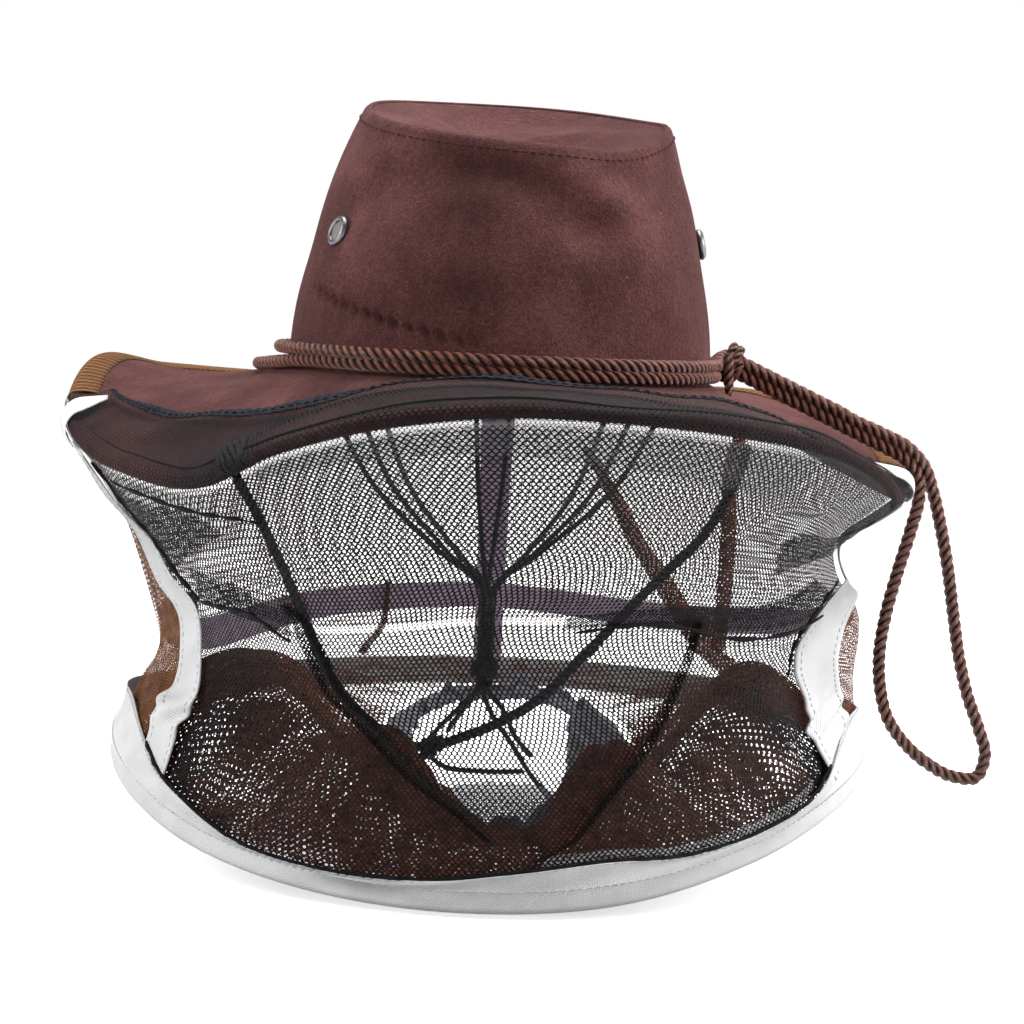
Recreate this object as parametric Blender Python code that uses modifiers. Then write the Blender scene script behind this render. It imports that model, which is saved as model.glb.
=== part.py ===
"""A beekeeper's hat with a face veil.

A suede-cloth hat with a wired brim carries a tube of net: a black front window edged in white tape and
brown nets at the sides and back. A seam ring and a stiff hoop hold the tube away from the face, and a
gathered skirt closes it to an elastic neck hem. A cord goes twice round the crown, through a sliding knot,
and hangs as a loop. Chin cords and thin tie cords hang inside, and the tie cords run through a sliding tie.

Metres, +Z up. The origin is the centre of the head opening, where the crown meets the brim, and the face
looks along -Y. Azimuth is in degrees: 0 at the front, positive to the right of someone facing the hat.
"""

import math

import bmesh
import bpy
import numpy as np
from mathutils import Matrix, Vector

# Crown
CROWN_HALF_WIDTH = 0.0903
CROWN_HALF_DEPTH = 0.1000
CROWN_HEIGHT = 0.1085
CROWN_TOP_SLOPE = 0.0125
CROWN_TURN = 18.0
TOP_HALF_WIDTH = 0.0655
TOP_HALF_DEPTH = 0.0750
TOP_SHIFT = 0.0035
TOP_DISH = 0.009
CLOTH = 0.0016
GAP = 0.0004
COLUMN = 7.5

# Brim
BRIM_WIDTH = 0.0920
BRIM_LAYER = 0.0012
BRIM_LAYER_MID = 0.0008
EDGE_WIRE_RADIUS = 0.0008
EDGE_WIRE_OUT = 0.0016
# The brim sags between the crown and its wired edge: azimuth of the sag, its depth, its half-angle
BRIM_SAGS = [(-115, 0.0050, 42), (105, 0.0030, 38)]

# Veil
NET = 0.0010
TAPE = 0.0008
TAPE_OUT = 0.0019
RIBBON_WIDTH = 0.0135
MID_RING_AT = 0.45
HOOP_WIRE_RADIUS = 0.0010

# Neck hem: a tilted oval with its front lip low
HEM_CENTRE = np.array([0.010, -0.030, -0.162])
HEM_HALF_WIDTH = 0.052
HEM_HALF_DEPTH = 0.064
HEM_TILT = math.radians(20.6)
HEM_ELASTIC_RADIUS = 0.0013

# Cords
BAND_CORD = 0.0044
CHIN_CORD = 0.0042
TIE_CORD = 0.0020
KNOT_START = np.array([0.1020, 0.010, 0.0095])
KNOT_AXIS = np.array([0.9135, 0.0, -0.4068])
STRAND_HALF_PITCH = 0.00245
TIE_LOW = -0.1310
TIE_HIGH = -0.1215

# Edge of the brim: azimuth and height below or above the head opening
BRIM_EDGE = [
    (-180, -0.012), (-150, -0.010), (-123, -0.006), (-105, -0.0025), (-90, -0.019), (-72, -0.032),
    (-57, -0.039), (-37, -0.040), (-25, -0.025), (-13, -0.014), (0, -0.0075), (15, -0.0075),
    (30, -0.0115), (45, -0.0185), (60, -0.030), (75, -0.041), (90, -0.036), (105, -0.027),
    (120, -0.018), (140, -0.007), (160, -0.010),
]  # fmt: skip
# Rings of the net tube below the brim: azimuth, radius, height
WAIST_RING = [
    (-180, 0.163, -0.066), (-120, 0.158, -0.062), (-90, 0.156, -0.066), (-65, 0.146, -0.073),
    (-30, 0.152, -0.068), (0, 0.157, -0.060), (30, 0.152, -0.062), (65, 0.139, -0.069),
    (90, 0.148, -0.068), (120, 0.158, -0.064),
]  # fmt: skip
MID_RING = [
    (-180, 0.156, -0.108), (-150, 0.150, -0.112), (-113, 0.143, -0.122), (-90, 0.142, -0.111),
    (-61, 0.136, -0.095), (-32, 0.142, -0.099), (0, 0.146, -0.090), (25, 0.146, -0.088),
    (53, 0.152, -0.089), (67, 0.157, -0.082), (90, 0.156, -0.094), (120, 0.154, -0.106),
    (150, 0.157, -0.112),
]  # fmt: skip
BELLY_RING = [
    (-180, 0.155, -0.132), (-120, 0.147, -0.138), (-90, 0.149, -0.136), (-64, 0.142, -0.134),
    (-30, 0.148, -0.146), (0, 0.150, -0.147), (35, 0.149, -0.141), (66, 0.149, -0.128),
    (90, 0.158, -0.128), (135, 0.155, -0.132),
]  # fmt: skip
HOOP_RING = [
    (-180, 0.155, -0.150), (-135, 0.155, -0.154), (-90, 0.156, -0.160), (-65, 0.157, -0.174),
    (-45, 0.156, -0.187), (-20, 0.154, -0.197), (0, 0.155, -0.199), (20, 0.155, -0.196),
    (45, 0.157, -0.182), (66, 0.161, -0.167), (90, 0.162, -0.158), (135, 0.158, -0.152),
]  # fmt: skip
# Where the window's side seams run, from the brim down: share of the way down, left and right azimuth
WINDOW_SIDES = [(0.0, -89, 90), (0.28, -70, 70), (0.45, -62, 67), (0.72, -64, 66), (1.0, -66, 68)]

# The band cord round the crown: azimuth (it goes clockwise twice), clearance from the crown, height
BAND_ROUTE = [
    (84, 0.0030, 0.0092), (60, 0.0028, 0.0092), (30, 0.0028, 0.0092), (0, 0.0028, 0.0092),
    (-30, 0.0028, 0.0092), (-60, 0.0028, 0.0092), (-90, 0.0035, 0.0092), (-120, 0.0028, 0.0092),
    (-150, 0.0028, 0.0092), (-180, 0.0028, 0.0092), (-210, 0.0028, 0.0090), (-240, 0.0028, 0.0072),
    (-268, 0.0028, 0.0050), (-300, 0.0028, 0.0045), (-330, 0.0028, 0.0045), (-360, 0.0028, 0.0045),
    (-390, 0.0028, 0.0045), (-420, 0.0032, 0.0042), (-437, 0.0070, 0.0022), (-450, 0.0125, 0.0012),
    (-463, 0.0145, 0.0010), (-478, 0.0120, 0.0022), (-500, 0.0085, 0.0035), (-525, 0.0080, 0.0040),
    (-560, 0.0082, 0.0050), (-590, 0.0084, 0.0075), (-612, 0.0078, 0.0098),
]  # fmt: skip
# The hanging loop past the straight strands: down the outer side, round the bottom and up the inner side
LOOP_ROUTE = [
    (0.1540, 0.010, -0.0115), (0.1680, 0.011, -0.0172), (0.1790, 0.012, -0.0225), (0.1865, 0.013, -0.0300),
    (0.1915, 0.014, -0.0420), (0.1957, 0.014, -0.0570), (0.2000, 0.014, -0.0760), (0.2035, 0.014, -0.0960),
    (0.2070, 0.014, -0.1140), (0.2115, 0.014, -0.1300), (0.2170, 0.013, -0.1440), (0.2205, 0.013, -0.1560),
    (0.2170, 0.012, -0.1655), (0.2070, 0.011, -0.1655), (0.1950, 0.010, -0.1600), (0.1840, 0.009, -0.1510),
    (0.1765, 0.008, -0.1410), (0.1725, 0.008, -0.1280), (0.1712, 0.008, -0.1130), (0.1730, 0.008, -0.0960),
    (0.1775, 0.009, -0.0760), (0.1822, 0.010, -0.0580), (0.1850, 0.011, -0.0440), (0.1835, 0.0115, -0.0335),
    (0.1775, 0.012, -0.0272), (0.1665, 0.011, -0.0220), (0.1530, 0.010, -0.0160),
]  # fmt: skip
CHIN_LEFT = [
    (-0.1180, -0.030, -0.0240), (-0.1140, -0.030, -0.0340), (-0.1085, -0.030, -0.0450),
    (-0.0970, -0.031, -0.0640), (-0.0880, -0.032, -0.0810), (-0.0775, -0.033, -0.1020),
    (-0.0700, -0.034, -0.1185), (-0.0590, -0.036, -0.1350), (-0.0440, -0.040, -0.1480),
    (-0.0300, -0.045, -0.1545),
]  # fmt: skip
CHIN_RIGHT = [
    (0.1060, -0.030, -0.0225), (0.1050, -0.030, -0.0300), (0.1010, -0.030, -0.0410),
    (0.0880, -0.031, -0.0640), (0.0760, -0.032, -0.0765), (0.0590, -0.033, -0.0950),
    (0.0400, -0.036, -0.1165), (0.0220, -0.040, -0.1345), (0.0030, -0.044, -0.1455),
    (-0.0110, -0.047, -0.1510),
]  # fmt: skip
CHIN_KNOT = (-0.0205, -0.0485, -0.1545)
# Tie cords: their anchors under the crown, and how far each runs on below the tie
TIE_ANCHORS = [
    (-0.0700, -0.036, -0.0120), (-0.0580, -0.046, -0.0120), (-0.0480, -0.054, -0.0120),
    (-0.0100, 0.078, -0.0100), (0.0060, 0.079, -0.0100), (0.0460, -0.054, -0.0120),
    (0.0570, -0.046, -0.0120), (0.0690, -0.036, -0.0120),
]  # fmt: skip
TIE_TAILS = [
    [(-0.0090, -0.004, -0.1420), (-0.0190, -0.014, -0.1520), (-0.0235, -0.024, -0.1585),
     (-0.0160, -0.030, -0.1645), (0.0020, -0.029, -0.1665), (0.0190, -0.027, -0.1660)],
    [(-0.0060, -0.012, -0.1400), (-0.0115, -0.026, -0.1460), (-0.0140, -0.036, -0.1490)],
    [(0.0030, -0.012, -0.1420), (0.0130, -0.028, -0.1540), (0.0230, -0.045, -0.1660),
     (0.0300, -0.055, -0.1720)],
    [],
    [],
    [(0.0090, -0.007, -0.1430), (0.0150, -0.012, -0.1540), (0.0225, -0.018, -0.1610)],
    [],
    [],
]  # fmt: skip
# Each tie cord's place in the bundle, in sevenths of a turn from the front, or None for the middle
TIE_PLACES = [-2, -1, 0, -3, None, 1, 2, 3]

SUEDE = ("suede", (0.16, 0.065, 0.06), 0.9, 0.0)
UNDERBRIM = ("suede_under", (0.13, 0.055, 0.05), 0.9, 0.0)
BLACK_NET = ("black_net", (0.015, 0.015, 0.017), 0.7, 0.0)
BROWN_NET = ("brown_net", (0.10, 0.045, 0.025), 0.7, 0.0)
WHITE_TAPE = ("white_tape", (0.85, 0.85, 0.84), 0.8, 0.0)
GREY_RIBBON = ("grey_ribbon", (0.11, 0.085, 0.105), 0.75, 0.0)
BAND_MATERIAL = ("band_cord", (0.10, 0.03, 0.02), 0.45, 0.0)
BLACK_CORD = ("black_cord", (0.01, 0.01, 0.011), 0.6, 0.0)
NICKEL = ("nickel", (0.45, 0.46, 0.47), 0.3, 1.0)
STEEL = ("spring_steel", (0.5, 0.5, 0.5), 0.35, 1.0)
SWEAT_COTTON = ("sweat_cotton", (0.06, 0.03, 0.03), 0.9, 0.0)


def hermite(knots, values, at):
    """A smooth curve through values at rising knots, with slopes from each knot's neighbours."""
    knots, values, at = (np.asarray(a, float) for a in (knots, values, at))
    slopes = np.gradient(values, knots, axis=0)
    i = np.clip(np.searchsorted(knots, at, side="right") - 1, 0, len(knots) - 2)
    width = (knots[i + 1] - knots[i])[..., None]
    t = (at - knots[i])[..., None] / width
    start = (2 * t**3 - 3 * t**2 + 1) * values[i] + (t**3 - 2 * t**2 + t) * width * slopes[i]
    end = (3 * t**2 - 2 * t**3) * values[i + 1] + (t**3 - t**2) * width * slopes[i + 1]
    return start + end


def round_ring(ring, azimuth):
    """The values of a closed ring of (azimuth, value, ...) rows at one azimuth."""
    rows = np.array(ring, float)
    whole_turn = np.array([360.0] + [0.0] * (rows.shape[1] - 1))
    wrapped = np.concatenate([rows[-3:] - whole_turn, rows, rows[:3] + whole_turn])
    return hermite(wrapped[:, 0], wrapped[:, 1:], (azimuth + 180) % 360 - 180)


def place(azimuth, radius, height):
    """The point at an azimuth in degrees, a distance from the axis and a height."""
    angle = math.radians(azimuth)
    return np.array([radius * math.sin(angle), -radius * math.cos(angle), height])


def oval(half_width, half_depth, azimuth):
    """The radius of an oval at an azimuth."""
    angle = math.radians(azimuth)
    return 1 / math.hypot(math.sin(angle) / half_width, math.cos(angle) / half_depth)


def crown_point(azimuth, share, out=0.0):
    """A point on the crown's outer face, from the brim (0) to the top seam (1), moved out by a distance."""
    rise = CROWN_HEIGHT - CROWN_TOP_SLOPE * math.cos(math.radians(azimuth - CROWN_TURN))
    swell = share**1.8
    base = oval(CROWN_HALF_WIDTH, CROWN_HALF_DEPTH, azimuth)
    top = oval(TOP_HALF_WIDTH, TOP_HALF_DEPTH, azimuth)
    point = place(azimuth, base + (top - base) * swell + out, rise * share)
    point[0] += TOP_SHIFT * share
    return point


def top_point(azimuth, share, up=0.0):
    """A point on the crown's top panel, from its centre (0) to the seam (1)."""
    rim = crown_point(azimuth, 1.0, -CLOTH - GAP)
    centre = np.array([TOP_SHIFT, 0, CROWN_HEIGHT])
    point = centre + (rim - centre) * share
    point[2] += up - TOP_DISH * (1 - share**2)
    return point


def azimuth_gap(azimuth, other):
    """The angle from one azimuth to another, in degrees from -180 to 180."""
    return (azimuth - other + 180) % 360 - 180


def brim_section(azimuth, out, up):
    """Radius and height of a point a distance out along the brim and a distance above its middle."""
    edge_height = round_ring(BRIM_EDGE, azimuth)[0]
    base = oval(CROWN_HALF_WIDTH, CROWN_HALF_DEPTH, azimuth)
    reach = math.sqrt(BRIM_WIDTH**2 - edge_height**2)
    slope = np.array([reach, edge_height]) / BRIM_WIDTH
    normal = np.array([-slope[1], slope[0]])
    sag = 0.0
    for middle, depth, half in BRIM_SAGS:
        sag += depth * math.exp(-((azimuth_gap(azimuth, middle) / half) ** 2))
    sag *= math.sin(math.pi * min(out / BRIM_WIDTH, 1))
    return np.array([base, -sag]) + slope * out + normal * up


def brim_point(azimuth, out, up):
    """A point on or near the brim."""
    radius, height = brim_section(azimuth, out, up)
    return place(azimuth, radius, height)


def veil_section(azimuth, share):
    """Radius and height of the net tube, from under the brim's edge (0) to the hoop (1)."""
    top = brim_section(azimuth, BRIM_WIDTH + EDGE_WIRE_OUT, -0.0046)
    rings = [top] + [round_ring(ring, azimuth) for ring in (WAIST_RING, MID_RING, BELLY_RING, HOOP_RING)]
    rings[-1] = rings[-1] + [0, 0.0030]
    return hermite([0.0, 0.28, MID_RING_AT, 0.72, 1.0], rings, share)


def veil_point(azimuth, share, out=0.0):
    """A point on the net tube, moved out from it by a distance."""
    low, high = veil_section(azimuth, max(share - 0.01, 0)), veil_section(azimuth, min(share + 0.01, 1))
    down = (high - low) / np.linalg.norm(high - low)
    radius, height = veil_section(azimuth, share) + out * np.array([-down[1], down[0]])
    return place(azimuth, radius, height)


def window_side(share, side):
    """The azimuth of the window's left (-1) or right (1) seam at a share of the way down."""
    rows = np.array(WINDOW_SIDES, float)
    return float(hermite(rows[:, 0], rows[:, [1 if side < 0 else 2]], share)[0])


def hem_point(azimuth, radius_out=0.0, up=0.0):
    """A point on the neck hem's oval, moved out in its plane and up from its plane."""
    angle = math.radians(azimuth)
    along = np.array([0, math.cos(HEM_TILT), math.sin(HEM_TILT)])
    normal = np.array([0, -math.sin(HEM_TILT), math.cos(HEM_TILT)])
    across = np.array([1.0, 0, 0]) * (HEM_HALF_WIDTH + radius_out) * math.sin(angle)
    return HEM_CENTRE + across - along * (HEM_HALF_DEPTH + radius_out) * math.cos(angle) + normal * up


def skirt_point(azimuth, share):
    """A point on the gathered skirt, from the hoop (0) to the neck hem (1)."""
    radius, height = round_ring(HOOP_RING, azimuth)
    outer = place(azimuth, radius - 0.0044, height + 0.0045)
    inner = hem_point(azimuth, 0.0050, 0.0005)
    hump = 0.036 * math.exp(-(((abs(azimuth) - 82) / 34) ** 2))
    point = outer + (inner - outer) * share
    point[2] += hump * math.sin(math.pi * share) ** 1.5
    return point


def smooth_route(points, spacing):
    """Points at an even spacing along a smooth curve through the route's own points."""
    points = np.array(points, float)
    steps = np.linalg.norm(np.diff(points, axis=0), axis=1)
    along = np.concatenate([[0], np.cumsum(steps)])
    fine = hermite(along, points, np.linspace(0, along[-1], 40 * len(points)))
    travelled = np.concatenate([[0], np.cumsum(np.linalg.norm(np.diff(fine, axis=0), axis=1))])
    stops = np.linspace(0, travelled[-1], max(int(round(travelled[-1] / spacing)) + 1, 4))
    return np.stack([np.interp(stops, travelled, fine[:, k]) for k in range(3)], axis=1)


def make_material(spec):
    """The Principled material that a spec names, made once."""
    name, colour, roughness, metallic = spec
    if name in bpy.data.materials:
        return bpy.data.materials[name]
    material = bpy.data.materials.new(name)
    material.use_nodes = True
    shader = material.node_tree.nodes["Principled BSDF"]
    shader.inputs["Base Color"].default_value = (*colour, 1)
    shader.inputs["Roughness"].default_value = roughness
    shader.inputs["Metallic"].default_value = metallic
    return material


def add_object(name, data, spec):
    """Links a new object of the part, with its material."""
    obj = bpy.data.objects.new(name, data)
    data.materials.append(make_material(spec))
    bpy.data.collections["beekeeping_veil"].objects.link(obj)
    return obj


def loft(name, rows, thickness, spec, closed=False, centre=None):
    """A shell round the open surface through rows of points: Solidify gives it its thickness."""
    mesh = bpy.data.meshes.new(name)
    shell = bmesh.new()
    grid = [[shell.verts.new(point) for point in row] for row in rows]
    count = len(rows[0])
    for upper, lower in zip(grid, grid[1:]):
        for i in range(count if closed else count - 1):
            j = (i + 1) % count
            shell.faces.new((upper[i], upper[j], lower[j], lower[i]))
    if centre is not None:
        hub = shell.verts.new(centre)
        for i in range(count):
            shell.faces.new((grid[-1][i], grid[-1][(i + 1) % count], hub))
    bmesh.ops.recalc_face_normals(shell, faces=shell.faces)
    for face in shell.faces:
        face.smooth = True
    shell.to_mesh(mesh)
    shell.free()
    obj = add_object(name, mesh, spec)
    solid = obj.modifiers.new("thickness", "SOLIDIFY")
    solid.thickness = thickness
    solid.offset = 0
    return obj


def tube(name, points, diameter, spec, closed=False, sides=2):
    """A cord or wire: a bevelled curve through its points."""
    curve = bpy.data.curves.new(name, "CURVE")
    curve.dimensions = "3D"
    curve.bevel_depth = diameter / 2
    curve.bevel_resolution = sides
    curve.use_fill_caps = not closed
    spline = curve.splines.new("POLY")
    spline.points.add(len(points) - 1)
    for target, point in zip(spline.points, points):
        target.co = (*point, 1)
    spline.use_cyclic_u = closed
    return add_object(name, curve, spec)


def azimuths(start, end, count):
    return [start + (end - start) * i / (count - 1) for i in range(count)]


def columns(start, end):
    """The azimuths from start to end that line up with the full rings' columns, and the two ends."""
    first, last = math.floor(start / COLUMN + 0.3) + 1, math.ceil(end / COLUMN - 0.3) - 1
    return [start] + [COLUMN * i for i in range(first, last + 1)] + [end]


def ring_azimuths(count):
    return [-180 + 360 * i / count for i in range(count)]


def facing_matrix(point, outward):
    """Puts a turned piece's +Z along the outward direction at a point."""
    rotation = outward.to_track_quat("Z", "Y").to_matrix().to_4x4()
    rotation.translation = point
    return rotation


def turned(name, profile, spec, closed_profile=False):
    """A turned solid: a profile of (radius, height), top to bottom, spun by a Screw modifier."""
    mesh = bpy.data.meshes.new(name)
    edges = [(i, i + 1) for i in range(len(profile) - 1)]
    if closed_profile:
        edges.append((len(profile) - 1, 0))
    mesh.from_pydata([(radius, 0, height) for radius, height in profile], edges, [])
    obj = add_object(name, mesh, spec)
    screw = obj.modifiers.new("turn", "SCREW")
    screw.steps = 14
    screw.render_steps = 14
    screw.use_merge_vertices = True
    screw.merge_threshold = 0.00001
    return obj


def add_crown():
    """The crown's side wall and its dished top panel."""
    ring = ring_azimuths(36)
    shares = [0.0, 0.20, 0.40, 0.58, 0.74, 0.88, 1.0]
    wall = loft(
        "crown_side",
        [[crown_point(a, share, -CLOTH / 2) for a in ring] for share in shares],
        CLOTH,
        SUEDE,
        closed=True,
    )
    top_rows = [[top_point(a, share, -0.0010) for a in ring] for share in (0.985, 0.75, 0.5, 0.25)]
    loft("crown_top", top_rows, CLOTH, SUEDE, closed=True, centre=top_point(0, 0, -0.0010))
    return wall


def add_eyelets(wall):
    """Four vent eyelets through the crown, each with its backing washer and its hole."""
    cap = [
        (0.0, 0.0014), (0.0044, 0.0014), (0.0050, 0.0021), (0.0060, 0.0019), (0.0066, 0.0005),
        (0.0040, 0.0005), (0.0040, -0.0034), (0.0, -0.0034),
    ]  # fmt: skip
    washer = [(0.0044, -0.0022), (0.0062, -0.0022), (0.0062, -0.0030), (0.0044, -0.0030)]
    share = 0.060 / CROWN_HEIGHT
    for number, side in enumerate((-126, -74, 74, 126), start=1):
        azimuth = CROWN_TURN + side
        point = Vector(crown_point(azimuth, share))
        around = Vector(crown_point(azimuth + 1, share)) - Vector(crown_point(azimuth - 1, share))
        upward = Vector(crown_point(azimuth, share + 0.02)) - Vector(crown_point(azimuth, share - 0.02))
        frame = facing_matrix(point, around.cross(upward).normalized())
        eyelet = turned(f"vent_eyelet_{number}", cap, NICKEL)
        backing = turned(f"eyelet_washer_{number}", washer, NICKEL, closed_profile=True)
        eyelet.matrix_world = frame
        backing.matrix_world = frame
        bpy.ops.mesh.primitive_cylinder_add(vertices=14, radius=0.0043, depth=0.008)
        cutter = bpy.context.object
        cutter.name = f"cutter_eyelet_{number}"
        cutter.matrix_world = frame
        cutter.hide_render = True
        cutter.display_type = "WIRE"
        bpy.context.collection.objects.unlink(cutter)
        bpy.data.collections["cutters"].objects.link(cutter)
        hole = wall.modifiers.new(f"hole_{number}", "BOOLEAN")
        hole.operation = "DIFFERENCE"
        hole.object = cutter


def add_sweatband():
    """The band inside the crown that rests on the head."""
    ring = ring_azimuths(36)
    rows = [[crown_point(a, share, -0.0029) - [0, 0, 0.002] for a in ring] for share in (0.03, 0.30)]
    loft("sweatband", rows, 0.0011, SWEAT_COTTON, closed=True)


def add_brim():
    """Two cloth layers, the wire at their edge, the binding behind and the black net over the front."""
    ring = ring_azimuths(48)
    outs = [0.0012, 0.022, 0.046, 0.070, BRIM_WIDTH]
    for name, up, spec in (("brim_top", BRIM_LAYER_MID, SUEDE), ("brim_under", -BRIM_LAYER_MID, UNDERBRIM)):
        loft(name, [[brim_point(a, out, up) for a in ring] for out in outs], BRIM_LAYER, spec, closed=True)
    wire = [brim_point(a, BRIM_WIDTH + EDGE_WIRE_OUT, 0) for a in ring]
    tube("brim_wire", wire, 2 * EDGE_WIRE_RADIUS, STEEL, closed=True, sides=0)
    edge = BRIM_WIDTH
    binding = [
        (edge - 0.0070, 0.0022), (edge, 0.0022), (edge + 0.0036, 0.0013), (edge + 0.0036, -0.0013),
        (edge, -0.0022), (edge - 0.0070, -0.0022),
    ]  # fmt: skip
    back = columns(93.0, 268.5)
    loft("brim_binding", [[brim_point(a, out, up) for a in back] for out, up in binding], TAPE, BROWN_NET)
    front = columns(-89.5, 90.5)
    rows = [[brim_point(a, cover_start(a), 0.0024) for a in front]]
    rows.append([brim_point(a, (cover_start(a) + edge) / 2, 0.0024) for a in front])
    for past, up in ((0.0, 0.0024), (0.0036, 0.0011), (0.0036, -0.0015), (0.0014, -0.0032)):
        rows.append([brim_point(a, edge + past, up) for a in front])
    loft("net_brim_cover", rows, TAPE, BLACK_NET)


def cover_start(azimuth):
    """How far out from the crown the black net starts on top of the brim."""
    return BRIM_WIDTH * (0.24 + 0.58 * (abs(azimuth) / 90) ** 1.6)


def add_veil():
    """The window, the side and back nets, the white tapes and the ribbons on the net tube."""
    shares = [0.0, 0.10, 0.20, 0.30, 0.38, 0.45, 0.54, 0.66, 0.78, 0.89, 1.0]
    seam = 0.6
    window, left, right = [], [], []
    for share in shares:
        west, east = window_side(share, -1), window_side(share, 1)
        window.append([veil_point(a, share) for a in azimuths(west + seam, east - seam, 19)])
        left.append([veil_point(a, share) for a in azimuths(-180 + seam, west - seam, 14)])
        right.append([veil_point(a, share) for a in azimuths(east + seam, 180 - seam, 14)])
    loft("front_window_net", window, NET, BLACK_NET)
    loft("side_net_left", left, NET, BROWN_NET)
    loft("side_net_right", right, NET, BROWN_NET)
    for name, side in (("window_tape_left", -1), ("window_tape_right", 1)):
        rows = []
        for share in shares[:-2]:
            middle = window_side(share, side)
            half = 2.4 + 2.2 * min(share / MID_RING_AT, 1)
            rows.append([veil_point(middle + turn, share, TAPE_OUT) for turn in (-half, 0, half)])
        loft(name, rows, TAPE, WHITE_TAPE)
    half_ribbon = 0.075
    around = columns(78, 282)
    steps = (-half_ribbon, 0, half_ribbon)
    band = [[veil_point(a, MID_RING_AT + step, -TAPE_OUT) for a in around] for step in steps]
    loft("mid_ribbon", band, TAPE, GREY_RIBBON)
    half_turn = math.degrees(RIBBON_WIDTH / 2 / 0.152)
    sides = (180 - half_turn, 180 + half_turn)
    strip = [[veil_point(a, share, -2 * TAPE_OUT) for a in sides] for share in shares[1:-1]]
    loft("back_seam_ribbon", strip, TAPE, GREY_RIBBON)


def add_hoop():
    """The stiff hoop, folded into white tape at the bottom of the net tube."""
    ring = ring_azimuths(48)
    wire = [place(a, *round_ring(HOOP_RING, a)) for a in ring]
    tube("hoop_wire", wire, 2 * HOOP_WIRE_RADIUS, STEEL, closed=True, sides=0)
    rows = [[veil_point(a, share, 0.0027) for a in ring] for share in (0.82, 0.985)]
    for out, up in ((0.0019, -0.0012), (0.0, -0.0024), (-0.0019, -0.0012), (-0.0023, 0.0020)):
        rows.append([place(a, *(round_ring(HOOP_RING, a) + [out, up])) for a in ring])
    loft("hoop_tape", rows, TAPE, WHITE_TAPE, closed=True)


def add_skirt():
    """The gathered skirt up to the neck, its hem and the elastic in the hem."""
    ring = ring_azimuths(40)
    shares = [0.0, 0.14, 0.30, 0.46, 0.62, 0.80, 1.0]
    loft("neck_skirt", [[skirt_point(a, s) for a in ring] for s in shares], NET, BROWN_NET, closed=True)
    hem_ring = ring_azimuths(24)
    elastic = [hem_point(a) for a in hem_ring]
    tube("neck_elastic", elastic, 2 * HEM_ELASTIC_RADIUS, BLACK_CORD, closed=True, sides=0)
    fold = [(0.0034, 0.0016), (0.0016, 0.0026), (-0.0016, 0.0026), (-0.0028, 0.0), (-0.0016, -0.0026),
            (0.0016, -0.0026), (0.0034, -0.0016)]  # fmt: skip
    loft("neck_hem", [[hem_point(a, *at) for a in hem_ring] for at in fold], TAPE, GREY_RIBBON, closed=True)


def band_points():
    """The band cord's route round the crown, as points."""
    route = []
    for azimuth, clearance, height in BAND_ROUTE:
        radius = oval(CROWN_HALF_WIDTH, CROWN_HALF_DEPTH, azimuth)
        route.append(place(azimuth, radius + clearance, height))
    return route


def strand(distance, side):
    """A point on the upper (1) or lower (-1) straight strand, a distance along from the knot."""
    across = np.array([-KNOT_AXIS[2], 0, KNOT_AXIS[0]])
    return KNOT_START + KNOT_AXIS * distance + across * STRAND_HALF_PITCH * side


def add_band():
    """The cord round the crown, the loop that hangs from it, and the sliding knot with the cord's end."""
    tube("band_cord", smooth_route(band_points(), 0.019), BAND_CORD, BAND_MATERIAL)
    straight = [-0.004, 0.005, 0.014, 0.023, 0.032, 0.041, 0.050]
    outward = [strand(d, 1) for d in straight]
    homeward = [strand(d, -1) for d in reversed(straight)]
    loop = outward + [np.array(p) for p in LOOP_ROUTE] + homeward
    tube("band_loop", smooth_route(loop, 0.0105), BAND_CORD, BAND_MATERIAL)
    knot_rows = []
    for distance, swell in ((-0.0040, 0.0), (-0.0018, 0.0010), (0.0018, 0.0010), (0.0040, 0.0)):
        knot_rows.append(sleeve_row(distance, 0.0036 + swell, 0.0060 + swell))
    knot = loft("band_knot", knot_rows, 0.0013, BAND_MATERIAL, closed=True)
    move_origin(knot, KNOT_START)
    tip = [
        KNOT_START + [0.0000, -0.0078, 0.0020],
        KNOT_START + [0.0004, -0.0080, -0.0020],
        KNOT_START + [0.0008, -0.0080, -0.0055],
        KNOT_START + [0.0012, -0.0080, -0.0080],
    ]
    end = tube("band_cord_end", tip, 0.0040, BAND_MATERIAL)
    for point, share in zip(end.data.splines[0].points, (0.9, 1.0, 0.8, 0.15)):
        point.radius = share
    move_origin(end, KNOT_START)


def sleeve_row(distance, half_side, half_height):
    """One oval row of the knot's sleeve, round both strands."""
    across = np.array([-KNOT_AXIS[2], 0, KNOT_AXIS[0]])
    middle = KNOT_START + KNOT_AXIS * distance
    row = []
    for i in range(14):
        angle = 2 * math.pi * i / 14
        sideways = np.array([0, half_side * math.cos(angle), 0])
        row.append(middle + sideways + across * half_height * math.sin(angle))
    return row


def move_origin(obj, origin):
    """Puts an object's origin on its joint's axis and leaves its shape where it is."""
    obj.data.transform(Matrix.Translation([-float(c) for c in origin]))
    obj.location = [float(c) for c in origin]


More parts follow.
